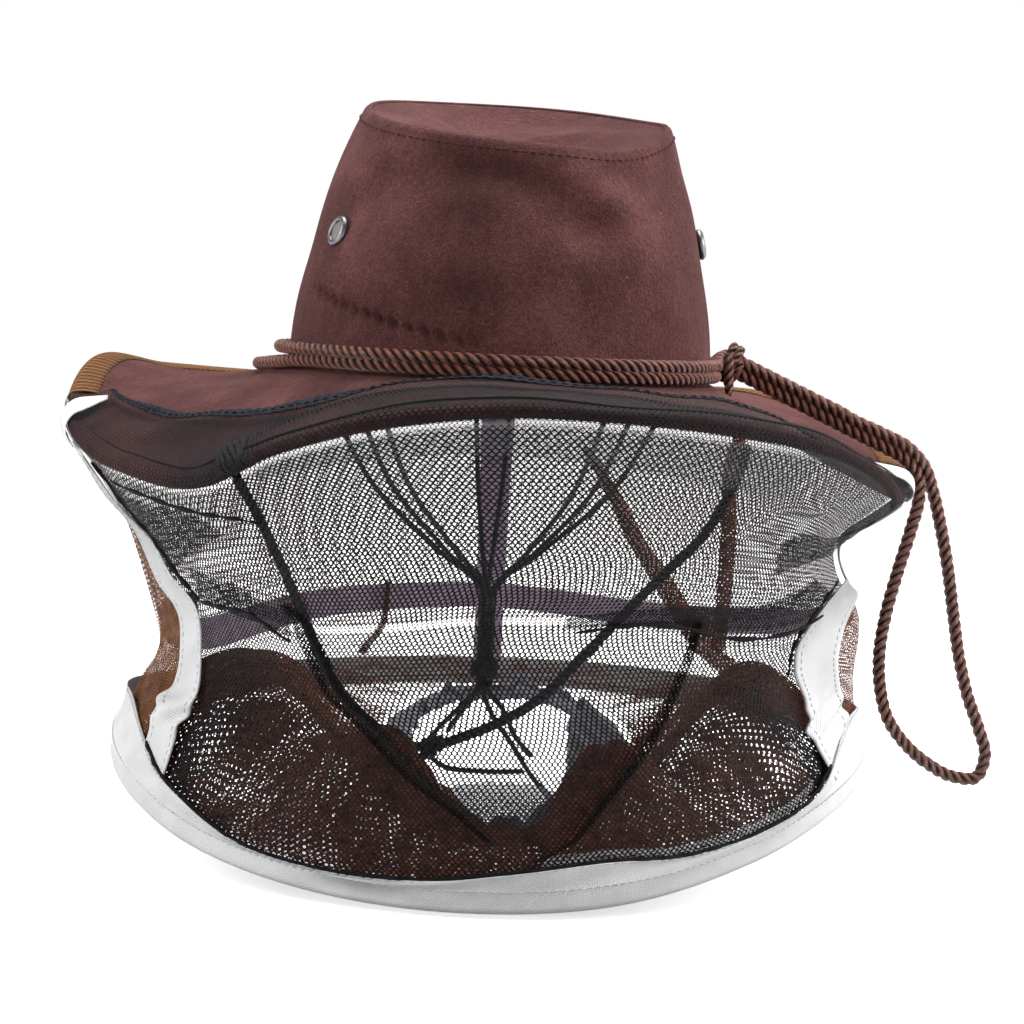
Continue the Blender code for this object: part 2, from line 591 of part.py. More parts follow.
def add_chin_cords():
    """The two chin cords, the tabs that hold them under the brim and the knot that joins them."""
    for name, route in (("left", CHIN_LEFT), ("right", CHIN_RIGHT)):
        tube(f"chin_cord_{name}", smooth_route(route, 0.011), CHIN_CORD, BLACK_CORD)
        top = np.array(route[0])
        azimuth = math.degrees(math.atan2(top[0], -top[1]))
        out = math.hypot(top[0], top[1]) - oval(CROWN_HALF_WIDTH, CROWN_HALF_DEPTH, azimuth)
        rows = []
        for step in (-0.006, 0.006):
            rows.append([brim_point(azimuth + turn, out + step, -0.0024) for turn in (-3.2, 0, 3.2)])
        loft(f"chin_tab_{name}", rows, 0.0012, GREY_RIBBON)
    bpy.ops.mesh.primitive_uv_sphere_add(segments=12, ring_count=8, radius=0.0056, location=CHIN_KNOT)
    knot = bpy.context.object
    knot.name = "chin_knot"
    knot.scale = (1.15, 0.9, 0.85)
    bpy.context.collection.objects.unlink(knot)
    bpy.data.collections["beekeeping_veil"].objects.link(knot)
    knot.data.materials.append(make_material(BLACK_CORD))


def add_tie_cords():
    """Eight thin cords from the crown through the sliding tie, one in the middle and seven round it."""
    spacing = (TIE_CORD + 0.0003) / 2 / math.sin(math.pi / 7)
    for number, (anchor, tail, seventh) in enumerate(zip(TIE_ANCHORS, TIE_TAILS, TIE_PLACES), start=1):
        slot = np.zeros(3) if seventh is None else place(360 / 7 * seventh, spacing, 0)
        anchor = np.array(anchor)
        upper = [
            anchor,
            anchor * [0.72, 0.74, 1] + [0, 0, -0.034] + slot * 0.3,
            anchor * [0.30, 0.32, 1] + [0, 0, -0.062] + slot * 0.9,
        ]
        gathered = [slot + [0, 0, height] for height in (-0.095, -0.103, -0.112, -0.121, -0.130, -0.1345)]
        tube(
            f"tie_cord_{number}",
            smooth_route(upper + gathered + [np.array(p) for p in tail], 0.0085),
            TIE_CORD,
            BLACK_CORD,
        )
    bore = spacing + TIE_CORD / 2 + 0.0003
    middle = (TIE_LOW + TIE_HIGH) / 2
    rows = []
    bulge = 0.0006
    for height, swell in ((TIE_LOW, 0), (middle - 0.002, bulge), (middle + 0.002, bulge), (TIE_HIGH, 0)):
        rows.append([place(a, bore + 0.0006 + swell, height) for a in ring_azimuths(12)])
    tie = loft("cord_tie", rows, 0.0011, BLACK_CORD, closed=True)
    move_origin(tie, (0, 0, middle))


def main():
    for obj in list(bpy.data.objects):
        bpy.data.objects.remove(obj)
    for name in ("beekeeping_veil", "cutters"):
        bpy.context.scene.collection.children.link(bpy.data.collections.new(name))
    wall = add_crown()
    add_eyelets(wall)
    add_sweatband()
    add_brim()
    add_veil()
    add_hoop()
    add_skirt()
    add_band()
    add_chin_cords()
    add_tie_cords()


main()
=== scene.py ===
"""Looks of a beekeeper's hat with a face veil.

Every soft surface is rebuilt from the same dimensions as the CAD model: suede cloth for the hat, real
threads for the nets, woven tapes and ribbons, and twisted strands for the cords. Metres, +Z up, and the
face looks along -Y. Azimuth is in degrees: 0 at the front, positive to the right of someone facing the hat.
"""

import math

import bpy
import numpy as np
from mathutils import Matrix, Vector


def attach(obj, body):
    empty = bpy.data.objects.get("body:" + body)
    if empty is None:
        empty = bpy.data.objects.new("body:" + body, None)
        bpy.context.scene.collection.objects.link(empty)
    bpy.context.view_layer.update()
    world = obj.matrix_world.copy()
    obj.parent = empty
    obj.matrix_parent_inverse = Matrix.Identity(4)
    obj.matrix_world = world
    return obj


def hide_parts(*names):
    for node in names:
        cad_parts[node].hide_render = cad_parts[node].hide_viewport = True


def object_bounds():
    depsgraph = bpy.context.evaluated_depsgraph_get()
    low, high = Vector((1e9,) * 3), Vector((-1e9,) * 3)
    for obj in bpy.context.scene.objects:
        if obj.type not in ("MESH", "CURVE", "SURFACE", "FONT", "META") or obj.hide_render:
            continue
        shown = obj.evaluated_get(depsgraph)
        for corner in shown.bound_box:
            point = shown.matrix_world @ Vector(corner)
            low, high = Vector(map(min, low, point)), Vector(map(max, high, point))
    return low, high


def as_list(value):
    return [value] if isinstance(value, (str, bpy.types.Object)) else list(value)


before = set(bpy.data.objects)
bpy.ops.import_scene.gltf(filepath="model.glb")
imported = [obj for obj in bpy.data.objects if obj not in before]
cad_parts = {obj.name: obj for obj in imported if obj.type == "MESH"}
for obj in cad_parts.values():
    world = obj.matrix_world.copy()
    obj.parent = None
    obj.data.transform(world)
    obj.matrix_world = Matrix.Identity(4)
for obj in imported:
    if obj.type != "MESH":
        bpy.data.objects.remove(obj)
CAD_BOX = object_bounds()

# Camera: where it stands, how far it looks down, how far it leans, and its lens
CAMERA_PLACE = (0.00875, -1.30, 0.036)
CAMERA_DOWN = 4.13
CAMERA_LEAN = 2.7
CAMERA_LENS = 106.3

# Crown
CROWN_HALF_WIDTH = 0.0903
CROWN_HALF_DEPTH = 0.1000
CROWN_HEIGHT = 0.1085
CROWN_TOP_SLOPE = 0.0125
CROWN_TURN = 18.0
TOP_HALF_WIDTH = 0.0655
TOP_HALF_DEPTH = 0.0750
TOP_SHIFT = 0.0035
TOP_DISH = 0.009
CLOTH = 0.0016
GAP = 0.0004
EYELET_SIDES = (-126, -74, 74, 126)
EYELET_HEIGHT = 0.060
TOPSTITCH_AT = 0.966

# Brim
BRIM_WIDTH = 0.0920
EDGE_WIRE_OUT = 0.0016
# Where the brim sags between crown and edge: azimuth, half the angle, depth
BRIM_SAGS = [(-115, 42, 0.0050), (105, 38, 0.0030)]

# Black net over the brim: its width, how much of it wraps under, the share at which it bends round the
# edge, its first azimuth and its span
COVER_WIDTH = 0.0860
COVER_WRAP = 0.0140
COVER_BEND = 0.86
COVER_FROM = -89.5
COVER_SPAN = 180

# Veil. A share of the way down is 0 at the brim's edge and 1 at the hoop
TAPE = 0.0007
TAPE_OUT = 0.0019
RIBBON_WIDTH = 0.0135
MID_RING_AT = 0.45
NET_END = 0.985
TAPE_END = 0.955

# Skirt and neck hem
SKIRT_HUMP = 0.036
HEM_CENTRE = np.array([0.010, -0.030, -0.162])
HEM_HALF_WIDTH = 0.052
HEM_HALF_DEPTH = 0.064
HEM_TILT = math.radians(20.6)

# Cords
BAND_CORD = 0.0044
CHIN_CORD = 0.0042
TIE_CORD = 0.0020
KNOT_START = np.array([0.1020, 0.010, 0.0095])
KNOT_AXIS = np.array([0.9135, 0.0, -0.4068])
KNOT_ACROSS = np.array([0.4068, 0.0, 0.9135])
STRAND_HALF_PITCH = 0.00245
TIE_LOW = -0.1310
TIE_HIGH = -0.1215

# Nets: half the width and the height of one cell, and the thread's width
CELL_HALF = 0.0012
CELL_ROW = 0.00165
THREAD = 0.00052

# How the top seam rises and dips: azimuth, half the angle, height
CROWN_TOP_WAVES = [(86, 34, 0.0046), (38, 20, -0.0018), (-150, 40, -0.0020)]

# Where the skirt bunches up in front of the neck: azimuth, half the angle, height
SKIRT_BUNCHES = [
    (-27, 16, 0.042), (-58, 17, 0.016), (0, 12, 0.009), (28, 15, 0.038), (60, 18, 0.014),
]  # fmt: skip

# Where the skirt's net is single and open: azimuth, share, half the angle, half the share, amount
SKIRT_THIN = [
    (-52, 0.22, 11, 0.10, 0.55), (-28, 0.06, 18, 0.06, 0.40), (60, 0.15, 13, 0.09, 0.50),
    (-78, 0.50, 13, 0.16, 0.45), (76, 0.30, 8, 0.12, 0.50), (38, 0.05, 14, 0.04, 0.30),
    (-62, 0.62, 12, 0.12, 0.35), (56, 0.55, 16, 0.20, 0.30),
]  # fmt: skip

# Dents in the crown's side: azimuth, share of the height, half the angle, half the share, depth
CROWN_DENTS = [
    (-54, 0.64, 14, 0.08, 0.0026), (-37, 0.77, 14, 0.08, 0.0034), (-21, 0.86, 13, 0.075, 0.0038),
    (-4, 0.86, 13, 0.075, 0.0038), (9, 0.78, 11, 0.08, 0.0030), (21, 0.66, 11, 0.08, 0.0040),
    (30, 0.80, 9, 0.07, -0.0024), (62, 0.82, 16, 0.10, 0.0026), (-20, 0.45, 24, 0.14, -0.0022),
    (125, 0.50, 30, 0.22, 0.0036), (195, 0.60, 32, 0.25, 0.0040), (250, 0.45, 20, 0.15, 0.0026),
]  # fmt: skip

# The top edge of the hoop's tape: azimuth and share of the way down the net tube
TAPE_TOP_RING = [
    (-180, 0.86), (-125, 0.84), (-95, 0.78), (-80, 0.79), (-68, 0.86), (-58, 0.92), (-48, 0.942),
    (-37, 0.974), (-27, 0.979), (-17, 0.976), (-6, 0.966), (5, 0.945), (20, 0.930), (32, 0.955),
    (46, 0.966), (60, 0.952), (70, 0.88), (80, 0.80), (95, 0.80), (130, 0.85),
]  # fmt: skip

# The height of the brim's edge at each azimuth
BRIM_EDGE = [
    (-180, -0.012), (-150, -0.010), (-123, -0.006), (-105, -0.0025), (-90, -0.019), (-72, -0.032),
    (-57, -0.039), (-37, -0.040), (-25, -0.025), (-13, -0.014), (0, -0.0075), (15, -0.0075),
    (30, -0.0115), (45, -0.0185), (60, -0.030), (75, -0.041), (90, -0.036), (105, -0.027),
    (120, -0.018), (140, -0.007), (160, -0.010),
]  # fmt: skip
# Rings of the net tube from the top down: azimuth, distance from the axis, height
WAIST_RING = [
    (-180, 0.163, -0.066), (-120, 0.158, -0.062), (-90, 0.156, -0.066), (-65, 0.146, -0.073),
    (-30, 0.152, -0.068), (0, 0.157, -0.060), (30, 0.152, -0.062), (65, 0.139, -0.069),
    (90, 0.148, -0.068), (120, 0.158, -0.064),
]  # fmt: skip
MID_RING = [
    (-180, 0.156, -0.108), (-150, 0.150, -0.112), (-113, 0.143, -0.122), (-90, 0.142, -0.111),
    (-61, 0.136, -0.095), (-32, 0.142, -0.099), (0, 0.146, -0.090), (25, 0.146, -0.088),
    (53, 0.152, -0.089), (67, 0.157, -0.082), (90, 0.156, -0.094), (120, 0.154, -0.106),
    (150, 0.157, -0.112),
]  # fmt: skip
BELLY_RING = [
    (-180, 0.155, -0.132), (-120, 0.147, -0.138), (-90, 0.149, -0.136), (-64, 0.142, -0.134),
    (-30, 0.148, -0.146), (0, 0.150, -0.147), (35, 0.149, -0.141), (66, 0.149, -0.128),
    (90, 0.158, -0.128), (135, 0.155, -0.132),
]  # fmt: skip
HOOP_RING = [
    (-180, 0.155, -0.150), (-135, 0.155, -0.154), (-90, 0.156, -0.160), (-65, 0.157, -0.174),
    (-45, 0.156, -0.187), (-20, 0.154, -0.197), (0, 0.155, -0.199), (20, 0.155, -0.196),
    (45, 0.157, -0.182), (66, 0.161, -0.167), (90, 0.162, -0.158), (135, 0.158, -0.152),
]  # fmt: skip
# The window's side seams: share of the way down, azimuth
WINDOW_LEFT = [
    (0.0, -74.5), (0.14, -73), (0.28, -72.5), (0.38, -70), (0.45, -64), (0.58, -60), (0.70, -57.5),
    (0.77, -60.5), (0.86, -60), (1.0, -60),
]  # fmt: skip
WINDOW_RIGHT = [
    (0.0, 89), (0.15, 90), (0.30, 92), (0.40, 80), (0.46, 67), (0.52, 61.5), (0.58, 61.5), (0.70, 68),
    (0.84, 71), (1.0, 73),
]  # fmt: skip
# Where the net tube swells beyond its smooth shape: azimuth, share, half the angle, half the share, distance
VEIL_SWELLS = [(-82, 0.15, 26, 0.10, 0.0050), (84, 0.12, 20, 0.10, 0.0030)]

# Doubled black net: azimuths of its ends, shares of its upper and lower edges at each end, and its cells
NET_FLAPS = [
    ("flap_left", (-71, -43), (0.06, 0.12), (0.40, 0.22), (56, 34)),
    ("flap_right", (54, 88), (0.19, 0.06), (0.33, 0.26), (60, 34)),
    ("swag_left", (-59, -32), (0.34, 0.42), (0.45, 0.47), (46, 18)),
    ("swag_right", (12, 64), (0.44, 0.38), (0.465, 0.47), (84, 14)),
]
# Rolled edges of the black net: radius, distance out, and (azimuth, share) along each
NET_ROLLS = [
    ("swag_roll_left", 0.0013, 0.002, [(-61, 0.450), (-51, 0.448), (-42, 0.445), (-32, 0.478)]),
    ("swag_roll_right", 0.0012, 0.002, [(14, 0.472), (28, 0.458), (43, 0.487), (60, 0.476)]),
    ("flap_roll_left", 0.0011, 0.002, [(-62, 0.03), (-50, 0.045), (-40, 0.092), (-33, 0.178)]),
    ("seam_roll_left", 0.0015, 0.001, [(-70, 0.02), (-68, 0.20), (-66, 0.35), (-59, 0.45)]),
    ("seam_roll_right", 0.0011, 0.001, [(71, 0.40), (59, 0.46), (54, 0.52), (54, 0.60)]),
]
# Net bunched into folds: look, distance out, cells, and (azimuth, share, half the angle) along each
NET_STRIPS = [
    ("back_pleat_diagonal", "skirt_net", -0.0045, (14, 150), [
        (166, 0.14, 0.9), (160, 0.24, 1.3), (154, 0.33, 1.7), (148, 0.39, 2.2), (140, 0.50, 2.8),
        (131, 0.74, 3.8), (116, 0.94, 4.6)]),
    ("back_pleat_upright", "skirt_net", -0.0040, (7, 100), [
        (139, 0.05, 0.8), (138, 0.18, 1.3), (135, 0.30, 1.5), (134, 0.42, 1.5), (134, 0.60, 1.0)]),
    ("back_pleat_left", "skirt_net", -0.0040, (6, 60), [
        (-161, 0.42, 0.5), (-160, 0.54, 1.0), (-158, 0.66, 1.4), (-156, 0.78, 1.6)]),
    ("window_fold_left", "black_net", 0.0012, (9, 120), [
        (-33, 0.40, 0.8), (-30, 0.43, 1.5), (-28, 0.48, 2.0), (-23, 0.58, 2.1), (-16, 0.65, 2.0),
        (-8, 0.75, 1.8), (-3, 0.80, 1.5), (3, 0.88, 0.6)]),
    ("window_fold_right", "black_net", 0.0012, (8, 110), [
        (35, 0.45, 0.2), (34, 0.50, 0.8), (32, 0.56, 1.4), (28, 0.65, 1.8), (24, 0.72, 1.8),
        (19, 0.80, 1.5), (15, 0.87, 1.0), (9, 0.92, 0.4)]),
]  # fmt: skip

# Cord routes. The band's is azimuth, clearance from the crown and height; the others are points
BAND_ROUTE = [
    (84, 0.0030, 0.0092), (60, 0.0028, 0.0092), (30, 0.0028, 0.0092), (0, 0.0028, 0.0092),
    (-30, 0.0028, 0.0092), (-60, 0.0028, 0.0092), (-90, 0.0035, 0.0092), (-120, 0.0028, 0.0092),
    (-150, 0.0028, 0.0092), (-180, 0.0028, 0.0092), (-210, 0.0028, 0.0090), (-240, 0.0028, 0.0072),
    (-268, 0.0028, 0.0050), (-300, 0.0028, 0.0045), (-330, 0.0028, 0.0045), (-360, 0.0028, 0.0045),
    (-390, 0.0028, 0.0045), (-420, 0.0032, 0.0042), (-437, 0.0070, 0.0022), (-450, 0.0125, 0.0012),
    (-463, 0.0145, 0.0010), (-478, 0.0120, 0.0022), (-500, 0.0085, 0.0035), (-525, 0.0080, 0.0040),
    (-560, 0.0082, 0.0050), (-590, 0.0084, 0.0075), (-612, 0.0078, 0.0098),
]  # fmt: skip
# The band's ends: name, side of the strand, azimuths and clearances of the last two points on the crown,
# their height, and the point where the lead bends outwards
BAND_LEADS = [
    ("upper", 1, (78, 85), (0.0030, 0.0031), 0.0092, (0.0946, 0.0030, 0.0122)),
    ("lower", -1, (112, 106), (0.0079, 0.0076), 0.0098, (0.0953, 0.0175, 0.0092)),
]
LOOP_ROUTE = [
    (0.1540, 0.010, -0.0115), (0.1680, 0.011, -0.0172), (0.1790, 0.012, -0.0225), (0.1865, 0.013, -0.0300),
    (0.1915, 0.014, -0.0420), (0.1957, 0.014, -0.0570), (0.2000, 0.014, -0.0760), (0.2035, 0.014, -0.0960),
    (0.2070, 0.014, -0.1140), (0.2115, 0.014, -0.1300), (0.2170, 0.013, -0.1440), (0.2205, 0.013, -0.1560),
    (0.2170, 0.012, -0.1655), (0.2070, 0.011, -0.1655), (0.1950, 0.010, -0.1600), (0.1840, 0.009, -0.1510),
    (0.1765, 0.008, -0.1410), (0.1725, 0.008, -0.1280), (0.1712, 0.008, -0.1130), (0.1730, 0.008, -0.0960),
    (0.1775, 0.009, -0.0760), (0.1822, 0.010, -0.0580), (0.1850, 0.011, -0.0440), (0.1835, 0.0115, -0.0335),
    (0.1775, 0.012, -0.0272), (0.1665, 0.011, -0.0220), (0.1530, 0.010, -0.0160),
]  # fmt: skip
CHIN_LEFT = [
    (-0.1180, -0.030, -0.0240), (-0.1140, -0.030, -0.0340), (-0.1085, -0.030, -0.0450),
    (-0.0970, -0.031, -0.0640), (-0.0880, -0.032, -0.0810), (-0.0775, -0.033, -0.1020),
    (-0.0700, -0.034, -0.1185), (-0.0590, -0.036, -0.1350), (-0.0440, -0.040, -0.1480),
    (-0.0300, -0.045, -0.1545),
]  # fmt: skip
CHIN_RIGHT = [
    (0.1060, -0.030, -0.0225), (0.1050, -0.030, -0.0300), (0.1010, -0.030, -0.0410),
    (0.0880, -0.031, -0.0640), (0.0760, -0.032, -0.0765), (0.0590, -0.033, -0.0950),
    (0.0400, -0.036, -0.1165), (0.0220, -0.040, -0.1345), (0.0030, -0.044, -0.1455),
    (-0.0110, -0.047, -0.1510),
]  # fmt: skip
CHIN_KNOT = (-0.0205, -0.0485, -0.1545)
TIE_ANCHORS = [
    (-0.0700, -0.036, -0.0120), (-0.0580, -0.046, -0.0120), (-0.0480, -0.054, -0.0120),
    (-0.0100, 0.078, -0.0100), (0.0060, 0.079, -0.0100), (0.0460, -0.054, -0.0120),
    (0.0570, -0.046, -0.0120), (0.0690, -0.036, -0.0120),
]  # fmt: skip
TIE_TAILS = [
    [(-0.0090, -0.004, -0.1420), (-0.0190, -0.014, -0.1520), (-0.0235, -0.024, -0.1585),
     (-0.0160, -0.030, -0.1645), (0.0020, -0.029, -0.1665), (0.0190, -0.027, -0.1660)],
    [(-0.0060, -0.012, -0.1400), (-0.0115, -0.026, -0.1460), (-0.0140, -0.036, -0.1490)],
    [(0.0030, -0.012, -0.1420), (0.0130, -0.028, -0.1540), (0.0230, -0.045, -0.1660),
     (0.0300, -0.055, -0.1720)],
    [],
    [],
    [(0.0090, -0.007, -0.1430), (0.0150, -0.012, -0.1540), (0.0225, -0.018, -0.1610)],
    [],
    [],
]  # fmt: skip
# Which seventh of the ring round the bundle each thin cord lies in, or None for the one in its middle
TIE_PLACES = [-2, -1, 0, -3, None, 1, 2, 3]


# The looks by name, which main() fills in
LOOKS = {}


# ---------------------------------------------------------------- shape of the hat and the veil


def spread(*values):
    """The same values as arrays of one length."""
    return [np.atleast_1d(a).astype(float) for a in np.broadcast_arrays(*values)]


def azimuth_gap(azimuth, other):
    """The angle from one azimuth to another, in degrees from -180 to 180."""
    return (azimuth - other + 180) % 360 - 180


def bell(value, middle, reach):
    """A smooth hump: 1 at its middle, and about a third of that at its reach."""
    return np.exp(-(((value - middle) / reach) ** 2))


def humps(rows, azimuth):
    """The sum of humps round the object: rows of azimuth, reach and height."""
    return sum(height * bell(azimuth_gap(azimuth, middle), 0, reach) for middle, reach, height in rows)


def patches(rows, azimuth, share):
    """The sum of soft patches: rows of azimuth, share, reach round, reach in share and amount."""
    total = np.zeros(np.broadcast(azimuth, share).shape)
    for middle, height, wide, tall, amount in rows:
        total += amount * bell(azimuth_gap(azimuth, middle), 0, wide) * bell(share, height, tall)
    return total


def waves(azimuth, share, *terms):
    """A sum of sine waves: (height, waves in a full turn, waves down, offset) each."""
    total = np.zeros(np.broadcast(azimuth, share).shape)
    for height, around, down, offset in terms:
        total += height * np.sin(np.radians(around * azimuth) + 2 * np.pi * down * share + offset)
    return total


def full_turn(count):
    """Evenly spaced azimuths for the columns of a closed ring."""
    return np.linspace(-180, 180, count, endpoint=False)


def arch(share):
    """0 at both ends of a share from 0 to 1, and 1 in its middle."""
    return np.sin(np.pi * share.clip(0, 1))


def distance_along(points):
    """How far along a path each of its points is."""
    return np.concatenate([[0], np.cumsum(np.linalg.norm(np.diff(points, axis=0), axis=1))])


def hermite(knots, values, at):
    """Smooth curves through values at rising knots. values may differ for each point in at."""
    knots, values, at = np.asarray(knots, float), np.asarray(values, float), np.atleast_1d(at)
    if values.ndim == 2:
        values = np.repeat(values[:, None, :], len(at), axis=1)
    slopes = np.gradient(values, knots, axis=0)
    i = np.clip(np.searchsorted(knots, at, side="right") - 1, 0, len(knots) - 2)
    n = np.arange(len(at))
    width = (knots[i + 1] - knots[i])[:, None]
    t = (at - knots[i])[:, None] / width
    start = (2 * t**3 - 3 * t**2 + 1) * values[i, n] + (t**3 - 2 * t**2 + t) * width * slopes[i, n]
    end = (3 * t**2 - 2 * t**3) * values[i + 1, n] + (t**3 - t**2) * width * slopes[i + 1, n]
    return start + end


def round_ring(ring, azimuth):
    """The values of a closed ring of (azimuth, value, ...) rows at each azimuth."""
    rows = np.array(ring, float)
    whole_turn = np.array([360.0] + [0.0] * (rows.shape[1] - 1))
    wrapped = np.concatenate([rows[-3:] - whole_turn, rows, rows[:3] + whole_turn])
    return hermite(wrapped[:, 0], wrapped[:, 1:], azimuth_gap(np.atleast_1d(azimuth), 0))


def place(azimuth, radius, height):
    """The points at azimuths in degrees, distances from the axis and heights."""
    azimuth, radius, height = spread(azimuth, radius, height)
    angle = np.radians(azimuth)
    return np.stack([radius * np.sin(angle), -radius * np.cos(angle), height], axis=-1)


def oval(half_width, half_depth, azimuth):
    """The radius of an oval at each azimuth."""
    angle = np.radians(azimuth)
    return 1 / np.hypot(np.sin(angle) / half_width, np.cos(angle) / half_depth)


def crown_point(azimuth, share, out=0.0):
    """Points on the crown's outer face, from the brim (0) to the top seam (1), moved out by a distance."""
    azimuth, share, out = spread(azimuth, share, out)
    rise = CROWN_HEIGHT - CROWN_TOP_SLOPE * np.cos(np.radians(azimuth - CROWN_TURN))
    rise = rise + humps(CROWN_TOP_WAVES, azimuth)
    base = oval(CROWN_HALF_WIDTH, CROWN_HALF_DEPTH, azimuth)
    top = oval(TOP_HALF_WIDTH, TOP_HALF_DEPTH, azimuth)
    points = place(azimuth, base + (top - base) * share**1.8 + out, rise * share)
    points[:, 0] += TOP_SHIFT * share
    return points


def top_point(azimuth, share, up=0.0):
    """Points on the crown's top panel, from its centre (0) to the seam (1)."""
    azimuth, share, up = spread(azimuth, share, up)
    rim = crown_point(azimuth, 1.0, -CLOTH - GAP)
    centre = np.array([TOP_SHIFT, 0, CROWN_HEIGHT])
    points = centre + (rim - centre) * share[:, None]
    points[:, 2] += up - TOP_DISH * (1 - share**2)
    return points


def brim_section(azimuth, out, up):
    """Radius and height of points a distance out along the brim and a distance above its middle."""
    azimuth, out, up = spread(azimuth, out, up)
    edge_height = round_ring(BRIM_EDGE, azimuth)[:, 0]
    base = oval(CROWN_HALF_WIDTH, CROWN_HALF_DEPTH, azimuth)
    reach = np.sqrt(BRIM_WIDTH**2 - edge_height**2)
    slope = np.stack([reach, edge_height], axis=-1) / BRIM_WIDTH
    normal = np.stack([-slope[:, 1], slope[:, 0]], axis=-1)
    sag = humps(BRIM_SAGS, azimuth) * np.sin(np.pi * np.minimum(out / BRIM_WIDTH, 1))
    return np.stack([base, -sag], axis=-1) + slope * out[:, None] + normal * up[:, None]


def brim_point(azimuth, out, up):
    """Points on or near the brim."""
    section = brim_section(azimuth, out, up)
    return place(azimuth, section[:, 0], section[:, 1])


def veil_section(azimuth, share):
    """Radius and height of the net tube, from under the brim's edge (0) to the hoop (1)."""
    azimuth, share = spread(azimuth, share)
    rings = [brim_section(azimuth, BRIM_WIDTH + EDGE_WIRE_OUT, -0.0046)]
    rings += [round_ring(ring, azimuth) for ring in (WAIST_RING, MID_RING, BELLY_RING, HOOP_RING)]
    rings[-1] = rings[-1] + [0, 0.0030]
    return hermite([0.0, 0.28, MID_RING_AT, 0.72, 1.0], np.stack(rings), share)


def veil_point(azimuth, share, out=0.0):
    """Points on the net tube, moved out from it by a distance."""
    azimuth, share, out = spread(azimuth, share, out)
    out = out + patches(VEIL_SWELLS, azimuth, share) * arch(share)
    down = veil_section(azimuth, np.minimum(share + 0.01, 1))
    down -= veil_section(azimuth, np.maximum(share - 0.01, 0))
    down /= np.linalg.norm(down, axis=1)[:, None]
    section = veil_section(azimuth, share) + out[:, None] * np.stack([-down[:, 1], down[:, 0]], axis=-1)
    return place(azimuth, section[:, 0], section[:, 1])


def window_side(share, side):
    """The azimuth of the window's left (-1) or right (1) seam at each share of the way down."""
    rows = np.array(WINDOW_LEFT if side < 0 else WINDOW_RIGHT, float)
    return hermite(rows[:, 0], rows[:, 1:], share)[:, 0]


def hem_point(azimuth, radius_out=0.0, up=0.0):
    """Points on the neck hem's oval, moved out in its plane and up from its plane."""
    azimuth, radius_out, up = spread(azimuth, radius_out, up)
    angle = np.radians(azimuth)
    rise, run = math.sin(HEM_TILT), math.cos(HEM_TILT)
    across = np.outer((HEM_HALF_WIDTH + radius_out) * np.sin(angle), [1, 0, 0])
    along = np.outer((HEM_HALF_DEPTH + radius_out) * np.cos(angle), [0, run, rise])
    normal = np.outer(up, [0, -rise, run])
    return HEM_CENTRE + across - along + normal


def skirt_point(azimuth, share):
    """Points on the gathered skirt, from the hoop (0) to the neck hem (1)."""
    azimuth, share = spread(azimuth, share)
    azimuth = azimuth_gap(azimuth, 0)
    ring = round_ring(HOOP_RING, azimuth)
    outer = place(azimuth, ring[:, 0] - 0.0044, ring[:, 1] + 0.0045)
    inner = hem_point(azimuth, 0.0050, 0.0005)
    hump = SKIRT_HUMP * bell(np.abs(azimuth), 82, 34)
    points = outer + (inner - outer) * share[:, None]
    points[:, 2] += hump * arch(share) ** 1.5
    return points


def smooth_route(points, spacing):
    """Points at an even spacing along a smooth curve through the route's own points."""
    points = np.array(points, float)
    along = distance_along(points)
    fine = hermite(along, points, np.linspace(0, along[-1], 40 * len(points)))
    travelled = distance_along(fine)
    stops = np.linspace(0, travelled[-1], max(int(round(travelled[-1] / spacing)) + 1, 4))
    return np.stack([np.interp(stops, travelled, fine[:, k]) for k in range(3)], axis=1)


def strand_point(distance, side):
    """A point on the loop's upper (1) or lower (-1) straight strand, a distance along from the knot."""
    return KNOT_START + KNOT_AXIS * distance + KNOT_ACROSS * STRAND_HALF_PITCH * side


# ---------------------------------------------------------------- meshes


def mesh_object(name, points, corner_index, face_sizes, uv=None):
    """A smooth mesh from points, the point of each face corner, and the number of corners of each face."""
    mesh = bpy.data.meshes.new(name)
    mesh.vertices.add(len(points))
    mesh.vertices.foreach_set("co", np.asarray(points, np.float32).ravel())
    mesh.loops.add(len(corner_index))
    mesh.loops.foreach_set("vertex_index", np.asarray(corner_index, np.int32))
    starts = np.concatenate([[0], np.cumsum(face_sizes)[:-1]])
    mesh.polygons.add(len(face_sizes))
    mesh.polygons.foreach_set("loop_start", starts.astype(np.int32))
    mesh.update(calc_edges=True)
    mesh.polygons.foreach_set("use_smooth", np.ones(len(face_sizes), bool))
    if uv is not None:
        layer = mesh.uv_layers.new(name="UVMap")
        layer.data.foreach_set("uv", np.asarray(uv, np.float32).ravel())
    obj = bpy.data.objects.new(name, mesh)
    bpy.context.scene.collection.objects.link(obj)
    return obj


def quad_corners(rows, count, closed=True):
    """The row and the column of the four corners of each face in a grid of points."""
    row, column = (a.ravel() for a in np.mgrid[0 : rows - 1, 0 : count if closed else count - 1])
    return row[:, None] + [0, 0, 1, 1], column[:, None] + [0, 1, 1, 0]


